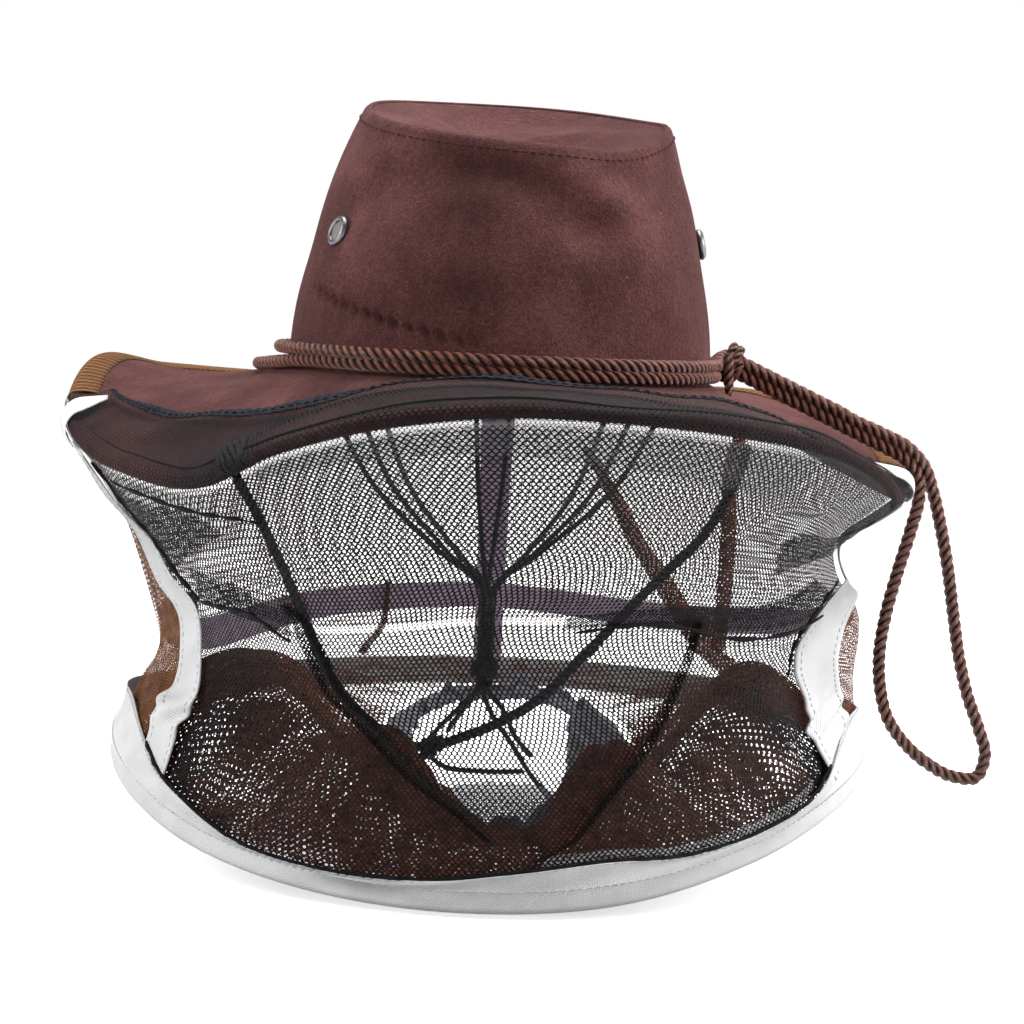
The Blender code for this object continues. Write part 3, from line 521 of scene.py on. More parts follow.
def grid_object(name, grid, closed=False, thickness=0.0):
    """A cloth surface through a grid of points, with its UV map in metres along and across the cloth."""
    grid = np.asarray(grid, float)
    rows, count = grid.shape[:2]
    r, c = quad_corners(rows, count, closed)
    ring = np.concatenate([grid, grid[:, :1]], axis=1) if closed else grid
    along = np.linalg.norm(np.diff(ring, axis=1), axis=2).mean(0)
    along = np.concatenate([[0], np.cumsum(along)])
    across = np.linalg.norm(np.diff(grid, axis=0), axis=2).mean(1)
    across = np.concatenate([[0], np.cumsum(across)])
    uv = np.stack([along[c], across[r]], axis=-1).reshape(-1, 2)
    corner_index = (r * count + c % count).ravel()
    obj = mesh_object(name, grid.reshape(-1, 3), corner_index, np.full(len(r), 4), uv)
    if thickness:
        solid = obj.modifiers.new("thickness", "SOLIDIFY")
        solid.thickness = thickness
        solid.offset = 0
    return obj


def mesh_grid(surface, across, down):
    """Points of a surface(u, v) at every pair of values. A count stands for that many values from 0 to 1."""
    across, down = (np.linspace(0, 1, a) if isinstance(a, int) else a for a in (across, down))
    u, v = np.meshgrid(across, down)
    return surface(u.ravel(), v.ravel()).reshape(len(down), len(across), 3)


def net_object(name, surface, columns, rows, thread, keep=None):
    """An open net as its own threads: diamond cells over surface(u, v), each with a six-sided hole.

    thread is the thread's width, or a function of (u, v) that gives it, and keep(u, v) says which cells are
    there. u and v run from 0 to 1.
    """
    j, i = (a.ravel() for a in np.mgrid[1:rows, 1 : 2 * columns])
    chosen = (i + j) % 2 == 1
    if keep is not None:
        chosen &= keep(i / (2 * columns), j / rows)
    i, j = i[chosen], j[chosen]
    width = 2 * columns + 1
    corner_steps = [(-1, 0), (0, -1), (1, 0), (0, 1)]
    left, top, right, bottom = ((j + dj) * width + i + di for di, dj in corner_steps)
    used, index = np.unique(np.concatenate([left, top, right, bottom]), return_inverse=True)
    left, top, right, bottom = index.reshape(4, -1)
    u, v = i / (2 * columns), j / rows
    reach = CELL_HALF * CELL_ROW / math.hypot(CELL_HALF, CELL_ROW)
    inset = 1 - (thread(u, v) if callable(thread) else thread) / 2 / reach
    holes = []
    for di, dj in ((-1.0, 0), (-0.30, -0.66), (0.30, -0.66), (1.0, 0), (0.30, 0.66), (-0.30, 0.66)):
        holes.append(surface(u + di * inset / (2 * columns), v + dj * inset / rows))
    corners = surface(used % width / (2 * columns), used // width / rows)
    points = np.concatenate([corners, *holes])
    h = [len(corners) + k * len(i) + np.arange(len(i)) for k in range(6)]
    quads = [(left, top, h[1], h[0]), (top, right, h[3], h[2])]
    quads += [(right, bottom, h[4], h[3]), (bottom, left, h[0], h[5])]
    triangles = [(top, h[2], h[1]), (bottom, h[5], h[4])]
    corner_index = [np.stack(face, axis=1).ravel() for face in quads + triangles]
    sizes = [np.full(4 * len(i), 4), np.full(2 * len(i), 3)]
    return mesh_object(name, points, np.concatenate(corner_index), np.concatenate(sizes))


def frames_along(path):
    """Two unit directions across a path at each of its points, which turn with it as little as they can."""
    tangents = np.gradient(path, axis=0)
    tangents /= np.linalg.norm(tangents, axis=1)[:, None]
    start = np.cross(tangents[0], [0.3, 0.2, 0.9])
    normals = [start / np.linalg.norm(start)]
    for tangent in tangents[1:]:
        normal = normals[-1] - tangent * (normals[-1] @ tangent)
        normals.append(normal / np.linalg.norm(normal))
    normals = np.array(normals)
    return normals, np.cross(tangents, normals)


def tubes_object(name, centres, radii, sides=8):
    """Round tubes along several paths, as one mesh with its UV map in metres round and along each tube."""
    points, corners, sizes, uv, first = [], [], [], [], 0
    angles = 2 * np.pi * np.arange(sides) / sides
    for path, radius in zip(centres, radii):
        normals, sideways = frames_along(path)
        ring = normals[:, None] * np.cos(angles)[:, None] + sideways[:, None] * np.sin(angles)[:, None]
        points.append((path[:, None] + ring * radius[:, None, None]).reshape(-1, 3))
        r, c = quad_corners(len(path), sides)
        corners.append((first + r * sides + c % sides).ravel())
        sizes.append(np.full(len(r), 4))
        round_it = c / sides * 2 * np.pi * radius.max()
        uv.append(np.stack([round_it, distance_along(path)[r]], axis=-1).reshape(-1, 2))
        for row_of_cap, turn in ((0, -1), (len(path) - 1, 1)):
            corners.append((first + row_of_cap * sides + np.arange(sides))[::turn])
            sizes.append([sides])
            uv.append(np.zeros((sides, 2)))
        first += len(path) * sides
    points, corners, sizes, uv = (np.concatenate(parts) for parts in (points, corners, sizes, uv))
    return mesh_object(name, points, corners, sizes, uv)


def rope_object(name, route, diameter, lay, sides=8, steps=10, taper=None):
    """A rope of three twisted strands along a route, and the path down its middle.

    lay is the length of one full twist. The ends are rounded unless taper gives the size along the rope.
    """
    strands = 3
    path = smooth_route(route, lay / steps)
    normals, sideways = frames_along(path)
    along = distance_along(path)
    if taper is None:
        from_end = np.minimum(np.minimum(along, along[-1] - along) / diameter, 1)
        size = np.sqrt(1 - (1 - from_end) ** 3 * 0.8)
    else:
        size = np.interp(along / along[-1], *taper)
    strand_radius = 1.12 * diameter / 2 / (1 + 1 / math.sin(math.pi / strands))
    offset = 0.55 * diameter - strand_radius
    centres = []
    for number in range(strands):
        turn = 2 * np.pi * (along / lay + number / strands)
        swing = normals * np.cos(turn)[:, None] + sideways * np.sin(turn)[:, None]
        centres.append(path + swing * (offset * size)[:, None])
    rope = tubes_object(name, centres, [strand_radius * size] * strands, sides)
    # The height attribute, 0 in the valleys between strands and 1 on their crests, drives the painted
    # highlight and painted shade in rope_look.
    points = np.empty(len(rope.data.vertices) * 3, np.float32)
    rope.data.vertices.foreach_get("co", points)
    reach = np.linalg.norm(points.reshape(strands, len(path), sides, 3) - path[:, None], axis=-1)
    valley, crest = offset - strand_radius, offset + strand_radius
    height = (reach / size[:, None] - valley) / (crest - valley)
    rope.data.attributes.new("height", "FLOAT", "POINT").data.foreach_set("value", height.ravel())
    return rope, path


def stitches_object(name, path, outward, pitch, length, width):
    """A row of stitches along a path, each a small rounded bar that lies on the cloth."""
    along = distance_along(path)
    middles = np.arange(pitch / 2, along[-1] - pitch / 4, pitch)
    centre, normal, ahead = (
        np.stack([np.interp(at, along, values[:, k]) for k in range(3)], axis=1)
        for at, values in ((middles, path), (middles, outward), (middles + pitch / 4, path))
    )
    forward = ahead - centre
    forward /= np.linalg.norm(forward, axis=1)[:, None]
    normal /= np.linalg.norm(normal, axis=1)[:, None]
    across = np.cross(forward, normal)
    template, sides = [], 6
    for at, size in ((-0.5, 0.35), (-0.36, 0.9), (0.0, 1.0), (0.36, 0.9), (0.5, 0.35)):
        for k in range(sides):
            angle = 2 * math.pi * k / sides
            lift = 0.5 * math.sin(angle) * size - 1.1 * (2 * at) ** 4
            template.append((at * length, width * math.cos(angle) * size / 2, width * lift))
    template = np.array(template)
    points = centre[:, None] + sum(
        template[:, k, None] * axis[:, None] for k, axis in enumerate((forward, across, normal))
    )
    r, c = quad_corners(len(template) // sides, sides)
    faces = r * sides + c % sides
    corner_index = (faces[None] + len(template) * np.arange(len(middles))[:, None, None]).ravel()
    return mesh_object(name, points.reshape(-1, 3), corner_index, np.full(len(corner_index) // 4, 4))


def turned_object(name, profile, place_matrix, steps=48):
    """A turned piece: a profile of (radius, height) spun round its own axis, which a matrix puts in place."""
    angles = 2 * np.pi * np.arange(steps) / steps
    grid = [[(r * math.cos(a), r * math.sin(a), h) for a in angles] for r, h in profile]
    obj = grid_object(name, grid, closed=True)
    obj.data.transform(place_matrix)
    return obj


def finish_piece(obj, look, body="veil", stands_for=()):
    """Gives a piece its look and the body that it rides on."""
    slot, material = LOOKS[look]
    obj.data.materials.append(material)
    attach(obj, body)
    if stands_for:
        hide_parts(*stands_for)


# ---------------------------------------------------------------- materials


def srgb(red, green, blue):
    """A shader colour from 0 to 255 screen values."""
    channels = []
    for value in (red, green, blue):
        share = value / 255
        channels.append(share / 12.92 if share <= 0.04045 else ((share + 0.055) / 1.055) ** 2.4)
    return (*channels, 1.0)


def set_stops(ramp, stops):
    """Gives a colour ramp its (value, colour) stops. A colour of three values is in screen values."""
    elements = ramp.color_ramp.elements
    while len(elements) < len(stops):
        elements.new(0.5)
    for element, (value, colour) in zip(elements, stops):
        element.position = value
        element.color = srgb(*colour) if len(colour) == 3 else colour


class Look:
    """A Principled material under construction."""

    def __init__(self, name, roughness, **sockets):
        self.material = bpy.data.materials.new(name)
        self.material.use_nodes = True
        self.tree = self.material.node_tree
        self.shader = self.tree.nodes["Principled BSDF"]
        self.shader.inputs["Roughness"].default_value = roughness
        for socket, value in sockets.items():
            self.shader.inputs[socket.replace("_", " ")].default_value = value
        self.place = self.tree.nodes.new("ShaderNodeTexCoord")

    def node(self, kind, inputs=None, **settings):
        made = self.tree.nodes.new(kind)
        for key, value in settings.items():
            setattr(made, key, value)
        for key, value in (inputs or {}).items():
            if isinstance(value, bpy.types.NodeSocket):
                self.tree.links.new(value, made.inputs[key])
            else:
                made.inputs[key].default_value = value
        return made

    def noise(self, scale, detail=2.0, roughness=0.5, stretch=None):
        """A noise pattern's value. scale is in cells per metre."""
        vector = self.place.outputs["Object"]
        if stretch:
            vector = self.node("ShaderNodeMapping", {"Vector": vector, "Scale": stretch}).outputs["Vector"]
        inputs = {"Vector": vector, "Scale": scale, "Detail": detail, "Roughness": roughness}
        return self.node("ShaderNodeTexNoise", inputs).outputs["Fac"]

    def lines(self, period, direction="X", distortion=0.0):
        """Parallel lines on the UV map, a period in metres apart."""
        turn = 20 if direction in "XY" else 10
        scale = 2 * math.pi / turn / period
        inputs = {"Vector": self.place.outputs["UV"], "Scale": scale, "Distortion": distortion}
        wave = self.node("ShaderNodeTexWave", inputs, wave_type="BANDS", bands_direction=direction)
        return wave.outputs["Fac"]

    def maths(self, operation, first, second):
        return self.node("ShaderNodeMath", {0: first, 1: second}, operation=operation).outputs[0]

    def total(self, *terms):
        """The sum of (value, weight) terms."""
        total = None
        for value, weight in terms:
            part = self.maths("MULTIPLY", value, weight)
            total = part if total is None else self.maths("ADD", total, part)
        return total

    def ramp(self, factor, *stops):
        """Colours at rising values of a factor: (value, colour) pairs."""
        ramp = self.node("ShaderNodeValToRGB", {"Fac": factor})
        set_stops(ramp, stops)
        return ramp.outputs["Color"]

    def mix(self, factor, first, second, blend="MIX"):
        mixer = self.node("ShaderNodeMix", data_type="RGBA", blend_type=blend)
        for index, value in ((0, factor), (6, first), (7, second)):
            if isinstance(value, bpy.types.NodeSocket):
                self.tree.links.new(value, mixer.inputs[index])
            else:
                mixer.inputs[index].default_value = value
        return mixer.outputs[2]

    def colour(self, socket):
        self.tree.links.new(socket, self.shader.inputs["Base Color"])

    def rough(self, factor, low, high):
        made = self.node("ShaderNodeMapRange", {"Value": factor, "To Min": low, "To Max": high})
        self.tree.links.new(made.outputs["Result"], self.shader.inputs["Roughness"])

    def bumps(self, *layers):
        """Raises the surface by (height, distance in metres) layers."""
        normal = None
        for height, distance in layers:
            inputs = {"Height": height, "Distance": distance, "Strength": 1.0}
            if normal is not None:
                inputs["Normal"] = normal
            normal = self.node("ShaderNodeBump", inputs).outputs["Normal"]
        self.tree.links.new(normal, self.shader.inputs["Normal"])


def suede_look():
    """Brushed suede cloth: a cloudy nap, fine fibres and a few pale lint specks."""
    look = Look("suede_cloth", 0.95, Sheen_Weight=0.18, Sheen_Roughness=0.4, Specular_IOR_Level=0.12)
    look.shader.inputs["Sheen Tint"].default_value = srgb(210, 170, 165)
    clouds = look.noise(30, 3, 0.6)
    blotches = look.noise(420, 4, 0.7)
    nap = look.noise(1700, 3, 0.7, stretch=(1, 1, 0.75))
    fibres = look.noise(4200, 2, 0.7, stretch=(1, 1, 0.6))
    tone = look.total((clouds, 0.32), (blotches, 0.20), (nap, 0.48))
    cloth = look.ramp(tone, (0.38, (56, 30, 30)), (0.50, (84, 49, 48)), (0.62, (120, 78, 76)))
    lint = look.ramp(look.noise(620, 1, 0.4), (0.815, (0, 0, 0, 1)), (0.84, (0.6, 0.6, 0.6, 1)))
    look.colour(look.mix(lint, cloth, srgb(214, 190, 184)))
    look.bumps((fibres, 0.0003), (nap, 0.0008), (blotches, 0.0009))
    return look.material


def thread_look(name, dark, light, sheen=0.0):
    """Fine knitted thread, a little uneven in tone."""
    look = Look(name, 0.7, Sheen_Weight=sheen, Specular_IOR_Level=0.12)
    look.colour(look.ramp(look.noise(240, 3, 0.6), (0.35, dark), (0.65, light)))
    look.bumps((look.noise(4200, 1), 0.0002))
    return look.material


def tape_look():
    """White twill tape: fine diagonal ribs, crossed by a fainter weave."""
    look = Look("white_twill_tape", 0.8, Sheen_Weight=0.1, Specular_IOR_Level=0.3)
    ribs = look.lines(0.0011, "DIAGONAL", 0.4)
    picks = look.lines(0.0007, "X")
    weave = look.total((ribs, 0.7), (picks, 0.3))
    cloth = look.ramp(weave, (0.0, (206, 206, 208)), (0.55, (233, 233, 234)), (1.0, (244, 244, 244)))
    shade = look.ramp(look.noise(60, 3), (0.35, (0.90, 0.90, 0.905, 1)), (0.6, (1, 1, 1, 1)))
    look.colour(look.mix(1.0, cloth, shade, "MULTIPLY"))
    look.bumps((weave, 0.00025))
    return look.material


def ribbon_look(name, dark, light):
    """Plain woven ribbon, its cross threads slightly raised."""
    look = Look(name, 0.7, Sheen_Weight=0.25, Specular_IOR_Level=0.3)
    weave = look.maths("MULTIPLY", look.lines(0.0012, "X"), look.lines(0.0010, "Y"))
    tone = look.total((weave, 0.5), (look.noise(150, 3), 0.6))
    look.colour(look.ramp(tone, (0.2, dark), (0.8, light)))
    look.bumps((weave, 0.0003))
    return look.material


def rope_look(name, dark, middle, light, roughness=0.34):
    """Twisted satin yarn: fine glossy fibres along each strand, with a painted highlight on each strand's
    crest and painted shade in its valleys.
    """
    look = Look(name, roughness, Specular_IOR_Level=0.4, Anisotropic=0.4)
    fibres = look.lines(0.00042, "DIAGONAL", 1.2)
    height = look.node("ShaderNodeAttribute", attribute_name="height").outputs["Fac"]
    grain = look.total((fibres, 0.16), (look.noise(900, 3), 0.20))
    tone = look.maths("ADD", look.maths("MULTIPLY", height, 0.74), grain)
    # Painted highlight and shade: the colour runs from the dark valley stop to the light crest stop as the
    # strand's height rises.
    look.colour(look.ramp(tone, (0.66, dark), (0.88, middle), (1.0, light)))
    look.bumps((fibres, 0.00018))
    look.rough(tone, roughness + 0.15, roughness - 0.06)
    return look.material


def nickel_look():
    """Nickel plate with fine scratches and a little wear."""
    look = Look("nickel_plate", 0.3, Metallic=1.0)
    scratches = look.noise(900, 4, 0.7, stretch=(6, 1, 1))
    look.colour(look.ramp(scratches, (0.3, (84, 84, 87)), (0.7, (132, 132, 135))))
    look.rough(scratches, 0.24, 0.48)
    look.bumps((scratches, 0.00005))
    return look.material


def gauze_look():
    """The eyelet's pressed metal gauze: a grid of small holes, painted dark as painted shade of the crown's
    inside seen through them.
    """
    look = Look("nickel_gauze", 0.55, Metallic=0.3)
    inputs = {"Vector": look.place.outputs["Object"], "Scale": 1250.0, "Randomness": 0.15}
    cells = look.node("ShaderNodeTexVoronoi", inputs).outputs["Distance"]
    # The dark stop is painted shade in the holes, and the light stop is the metal.
    look.colour(look.ramp(cells, (0.18, (58, 55, 54)), (0.42, (126, 119, 114))))
    look.bumps((cells, 0.0003))
    return look.material


def binding_look():
    """Tan net folded so densely that it reads as ribbed cloth."""
    look = Look("tan_dense_net", 0.8, Sheen_Weight=0.05, Specular_IOR_Level=0.2)
    ribs = look.lines(0.0014, "X", 0.6)
    knit = look.maths("MULTIPLY", look.lines(0.0009, "Y", 1.0), look.noise(1400, 2))
    tone = look.total((ribs, 0.6), (knit, 0.6))
    look.colour(look.ramp(tone, (0.1, (48, 27, 12)), (0.45, (118, 74, 36)), (0.8, (160, 110, 58))))
    look.bumps((ribs, 0.0006), (knit, 0.0004))
    return look.material


def steel_look():
    """Drawn spring wire."""
    look = Look("spring_wire", 0.35, Metallic=1.0)
    look.colour(look.ramp(look.noise(1200, 2), (0.3, (110, 110, 112)), (0.7, (150, 150, 152))))
    look.bumps((look.noise(2500, 2), 0.00005))
    return look.material


def make_looks():
    """Every look of the object by a short name: its record slot and its material."""
    return {
        "suede": ("suede", suede_look()),
        "black_net": ("black_net", thread_look("black_net_thread", (9, 9, 11), (24, 23, 27))),
        "brown_net": ("brown_net", thread_look("brown_net_thread", (66, 33, 21), (114, 63, 39))),
        "skirt_net": ("brown_net", thread_look("dark_brown_net_thread", (76, 40, 28), (130, 76, 54), 0.05)),
        "white_tape": ("white_tape", tape_look()),
        "grey_ribbon": ("grey_ribbon", ribbon_look("grey_woven_ribbon", (138, 120, 138), (205, 186, 205))),
        "hem_ribbon": ("grey_ribbon", ribbon_look("blue_grey_hem_ribbon", (112, 112, 122), (178, 178, 188))),
        "pale_ribbon": ("white_tape", ribbon_look("pale_sheer_ribbon", (222, 222, 226), (246, 246, 248))),
        "sweat_cotton": ("sweat_cotton", ribbon_look("sweatband_cotton", (58, 38, 36), (92, 66, 62))),
        # In the rope looks the first colour is painted shade for the valleys and the last is a painted
        # highlight for the crests.
        "satin_rope": ("band_cord", rope_look("satin_brown_rope", (22, 9, 7), (70, 34, 27), (206, 128, 102))),
        "black_rope": (
            "black_cord",
            rope_look("black_twisted_cord", (4, 4, 5), (10, 10, 11), (30, 30, 33), 0.5),
        ),
        "nickel": ("nickel", nickel_look()),
        "gauze": ("nickel", gauze_look()),
        "binding": ("brown_net", binding_look()),
        "steel": ("spring_steel", steel_look()),
        "stitch": ("suede", thread_look("stitching_thread", (48, 26, 24), (74, 46, 42))),
        "white_stitch": ("white_tape", thread_look("white_stitching", (196, 196, 198), (226, 226, 228))),
        "black_cloth": ("black_net", thread_look("black_folded_net", (8, 8, 9), (22, 22, 25))),
        "suede_under": ("suede_under", ribbon_look("suede_under_cloth", (56, 38, 44), (92, 70, 76))),
        # The fold's lighter blue-grey is a painted sheen on the black net.
        "net_fold": ("black_net", thread_look("net_fold_painted_sheen", (14, 15, 20), (34, 36, 46))),
        "tan_net": ("brown_net", thread_look("tan_net_thread", (84, 48, 22), (132, 84, 42), 0.05)),
    }


# ---------------------------------------------------------------- camera and cords, which come first


def add_camera():
    """The photograph's viewing angle."""
    data = bpy.data.cameras.new("camera")
    data.lens = CAMERA_LENS
    data.sensor_width = 36
    camera = bpy.data.objects.new("camera", data)
    bpy.context.scene.collection.objects.link(camera)
    tilt = Matrix.Rotation(math.radians(90 - CAMERA_DOWN), 4, "X")
    lean = Matrix.Rotation(math.radians(CAMERA_LEAN), 4, "Z")
    camera.matrix_world = Matrix.Translation(CAMERA_PLACE) @ tilt @ lean
    bpy.context.scene.camera = camera


def add_band():
    """The rope twice round the crown, its sliding knot and tail, and the hanging loop."""
    azimuth, clearance, height = (np.array(column) for column in zip(*BAND_ROUTE))
    radius = oval(CROWN_HALF_WIDTH, CROWN_HALF_DEPTH, azimuth)
    rope, _ = rope_object("band_rope", place(azimuth, radius + clearance, height), 1.14 * BAND_CORD, 0.0132)
    finish_piece(rope, "satin_rope", stands_for=["band_cord"])
    straight = [-0.004, 0.005, 0.014, 0.023, 0.032, 0.041, 0.050]
    route = [strand_point(d, 1) for d in straight] + [np.array(p) for p in LOOP_ROUTE]
    route += [strand_point(d, -1) for d in reversed(straight)]
    loop, path = rope_object("hanging_loop_rope", route, 1.24 * BAND_CORD, 0.0126)
    finish_piece(loop, "satin_rope", stands_for=["band_loop"])
    declare_cord(loop, path)
    add_band_leads()
    add_knot()


def add_band_leads():
    """The band's two ends, which leave the crown and run into the loop's strands under the knot."""
    for name, side, azimuths, clearances, height, bend in BAND_LEADS:
        azimuths = np.array(azimuths)
        radius = oval(CROWN_HALF_WIDTH, CROWN_HALF_DEPTH, azimuths) + clearances
        route = [*place(azimuths, radius, height), np.array(bend)]
        route += [strand_point(distance, side) for distance in (-0.0035, 0.0, 0.0045)]
        lead, _ = rope_object(f"band_lead_{name}", route, 1.2 * BAND_CORD, 0.0128)
        finish_piece(lead, "satin_rope")


def declare_cord(piece, path, with_pieces=()):
    """Measures a free hanging cord, which leaves the object at the start of its path; the results are not
    kept.
    """
    length = float(distance_along(path)[-1])
    tuple(path[0])
    [tuple(point) for point in path]
    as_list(with_pieces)


def add_knot():
    """The knot that slides along the loop's two strands, and the rope's pointed tail."""
    turns, points = 2.2, []
    for i in range(45):
        share = i / 44
        angle = 2 * math.pi * turns * share - 0.9
        across = KNOT_ACROSS * 0.0072 * math.sin(angle)
        sideways = np.array([0, -0.0047 * math.cos(angle), 0])
        points.append(KNOT_START + KNOT_AXIS * (0.0070 * (share - 0.5) - 0.0016) + across + sideways)
    wraps, _ = rope_object("knot_wraps", points, 0.0037, 0.0100, sides=7)
    finish_piece(wraps, "satin_rope", "band_knot", ["band_knot"])
    tail = [
        KNOT_START + [-0.0030, -0.0066, 0.0050], KNOT_START + [-0.0030, -0.0086, 0.0010],
        KNOT_START + [-0.0030, -0.0092, -0.0050], KNOT_START + [-0.0026, -0.0092, -0.0110],
        KNOT_START + [-0.0016, -0.0090, -0.0178],
    ]  # fmt: skip
    taper = ([0.0, 0.25, 0.6, 1.0], [0.75, 1.05, 1.0, 0.12])
    end, _ = rope_object("rope_tail", tail, 0.0042, 0.0110, taper=taper)
    finish_piece(end, "satin_rope", "band_knot", ["band_cord_end"])


def add_chin_cords():
    """Two black twisted chin cords from tabs under the brim to the knot that joins them."""
    turns, points = 2.6, []
    for i in range(44):
        angle = 2 * math.pi * turns * i / 43
        along = 0.0078 * (i / 43 - 0.5)
        sine, cosine = math.sin(angle), math.cos(angle)
        swing = [along + 0.0008 * sine, 0.0026 * cosine, 0.0027 * sine + 0.3 * along]
        points.append(np.array(CHIN_KNOT) + swing)
    knot, _ = rope_object("chin_knot_rope", points, 0.0042, 0.0085, sides=7)
    finish_piece(knot, "black_rope", stands_for=["chin_knot"])
    for name, route, with_pieces in (("left", CHIN_LEFT, [knot]), ("right", CHIN_RIGHT, [])):
        cord, path = rope_object(f"chin_rope_{name}", [*route, CHIN_KNOT], CHIN_CORD, 0.0100)
        finish_piece(cord, "black_rope", stands_for=[f"chin_cord_{name}"])
        declare_cord(cord, path, with_pieces=with_pieces)
        add_chin_tab(name, np.array(route[0]))


def add_chin_tab(name, top):
    """The ribbon tab that sews a chin cord under the brim."""
    azimuth = math.degrees(math.atan2(top[0], -top[1]))
    out = math.hypot(top[0], top[1]) - oval(CROWN_HALF_WIDTH, CROWN_HALF_DEPTH, azimuth)

    def tab(u, v):
        droop = 0.0006 * np.sin(np.pi * u) * np.sin(np.pi * v)
        return brim_point(azimuth - 3.2 + 6.4 * u, out - 0.006 + 0.012 * v, -0.0024 - droop)

    grid = mesh_grid(tab, 17, 13)
    piece = grid_object(f"chin_tab_ribbon_{name}", grid, thickness=0.0010)
    finish_piece(piece, "grey_ribbon", stands_for=[f"chin_tab_{name}"])


def add_tie_cords():
    """Eight thin black cords from the crown, gathered by the sliding tie, and their tails."""
    spacing = (TIE_CORD + 0.0003) / 2 / math.sin(math.pi / 7)
    for number, (anchor, tail, seventh) in enumerate(zip(TIE_ANCHORS, TIE_TAILS, TIE_PLACES), start=1):
        slot = np.zeros(3) if seventh is None else place(360 / 7 * seventh, spacing, 0)[0]
        anchor = np.array(anchor)
        upper = [
            anchor,
            anchor * [0.72, 0.74, 1] + [0, 0, -0.034] + slot * 0.3,
            anchor * [0.30, 0.32, 1] + [0, 0, -0.062] + slot * 0.9,
        ]
        gathered = [slot + [0, 0, height] for height in (-0.095, -0.103, -0.112, -0.121, -0.130, -0.1345)]
        route = upper + gathered + [np.array(point) for point in tail]
        cord, path = rope_object(f"tie_rope_{number}", route, 1.15 * TIE_CORD, 0.0052, sides=6, steps=7)
        finish_piece(cord, "black_rope", stands_for=[f"tie_cord_{number}"])
        declare_cord(cord, path)
    add_tie(spacing + TIE_CORD / 2 + 0.0003)


def add_tie(bore):
    """The sliding tie: a thin cord wound round the bundle."""
    points, turns = [], 4.3
    for i in range(90):
        share = i / 89
        height = TIE_LOW + 0.0011 + (TIE_HIGH - TIE_LOW - 0.0022) * share
        points.append(place(360 * turns * share, bore + 0.0011, height)[0])
    tie, _ = rope_object("tie_winding", points, 0.0020, 0.0050, sides=6)
    finish_piece(tie, "black_rope", "cord_tie", ["cord_tie"])


# ---------------------------------------------------------------- hat


def crown_dent(azimuth, share):
    """How far the worn cloth is pushed in at each place on the crown's side."""
    depth = waves(azimuth, share, (0.0006, 3, 0.7, 0.4), (0.0003, 7, 1.3, 2.0), (0.0002, 13, 2.2, 1.0))
    depth += patches(CROWN_DENTS, azimuth, share)
    along = azimuth_gap(azimuth, -62) / 58
    within = arch(along) ** 0.3
    crease = bell(share + 0.18 * along, 0.33, 0.024)
    depth += 0.0028 * within * crease * (0.4 + 0.6 * np.sin(2 * np.pi * (15 * along + 9 * share)))
    return depth * (1 - share**12)


def add_crown():
    """The crown's worn suede wall with its rolled top seam, the dished top panel and the topstitching."""
    azimuth = full_turn(360)

    def wall(a, share):
        return crown_point(a, share, -CLOTH / 2 - crown_dent(a, share))

    def panel(a, share):
        ripple = waves(a, share, (0.0026, 2, 0.8, 1.2), (0.0009, 5, 1.5, 0.3)) * share * (1 - share) * 4
        return top_point(a, share, -0.0004 + ripple)

    rows = list(mesh_grid(wall, azimuth, np.linspace(0.0, 0.985, 130)))
    for share, out, lift in ((0.995, -0.0009, 0.0000), (1.0, -0.0016, 0.0003), (1.0, -0.0028, -0.0003)):
        rows.append(crown_point(azimuth, share, out) + [0, 0, lift])
    cloth = grid_object("crown_cloth", rows, closed=True, thickness=CLOTH)
    finish_piece(cloth, "suede", stands_for=["crown_side"])
    grid = mesh_grid(panel, azimuth, np.linspace(0.995, 0.004, 44))
    top = grid_object("crown_top_cloth", grid, closed=True, thickness=CLOTH)
    finish_piece(top, "suede", stands_for=["crown_top"])
    ring = np.append(azimuth, 180)
    seam = crown_point(ring, TOPSTITCH_AT, 0.0003 - crown_dent(ring, TOPSTITCH_AT))
    outward = crown_point(ring, TOPSTITCH_AT, 0.01) - crown_point(ring, TOPSTITCH_AT) + [0, 0, 0.004]
    stitches = stitches_object("crown_topstitch", seam, outward, 0.0037, 0.0029, 0.0008)
    finish_piece(stitches, "stitch")
    add_sweatband(azimuth)


def add_sweatband(azimuth):
    """The cotton band inside the crown that rests on the head."""

    def band(a, share):
        return crown_point(a, share, -0.0029 - 0.0002 * np.sin(np.radians(60 * a))) - [0, 0, 0.002]

    grid = mesh_grid(band, azimuth, np.linspace(0.03, 0.30, 16))
    band = grid_object("sweatband_cloth", grid, closed=True, thickness=0.0011)
    finish_piece(band, "sweat_cotton", stands_for=["sweatband"])


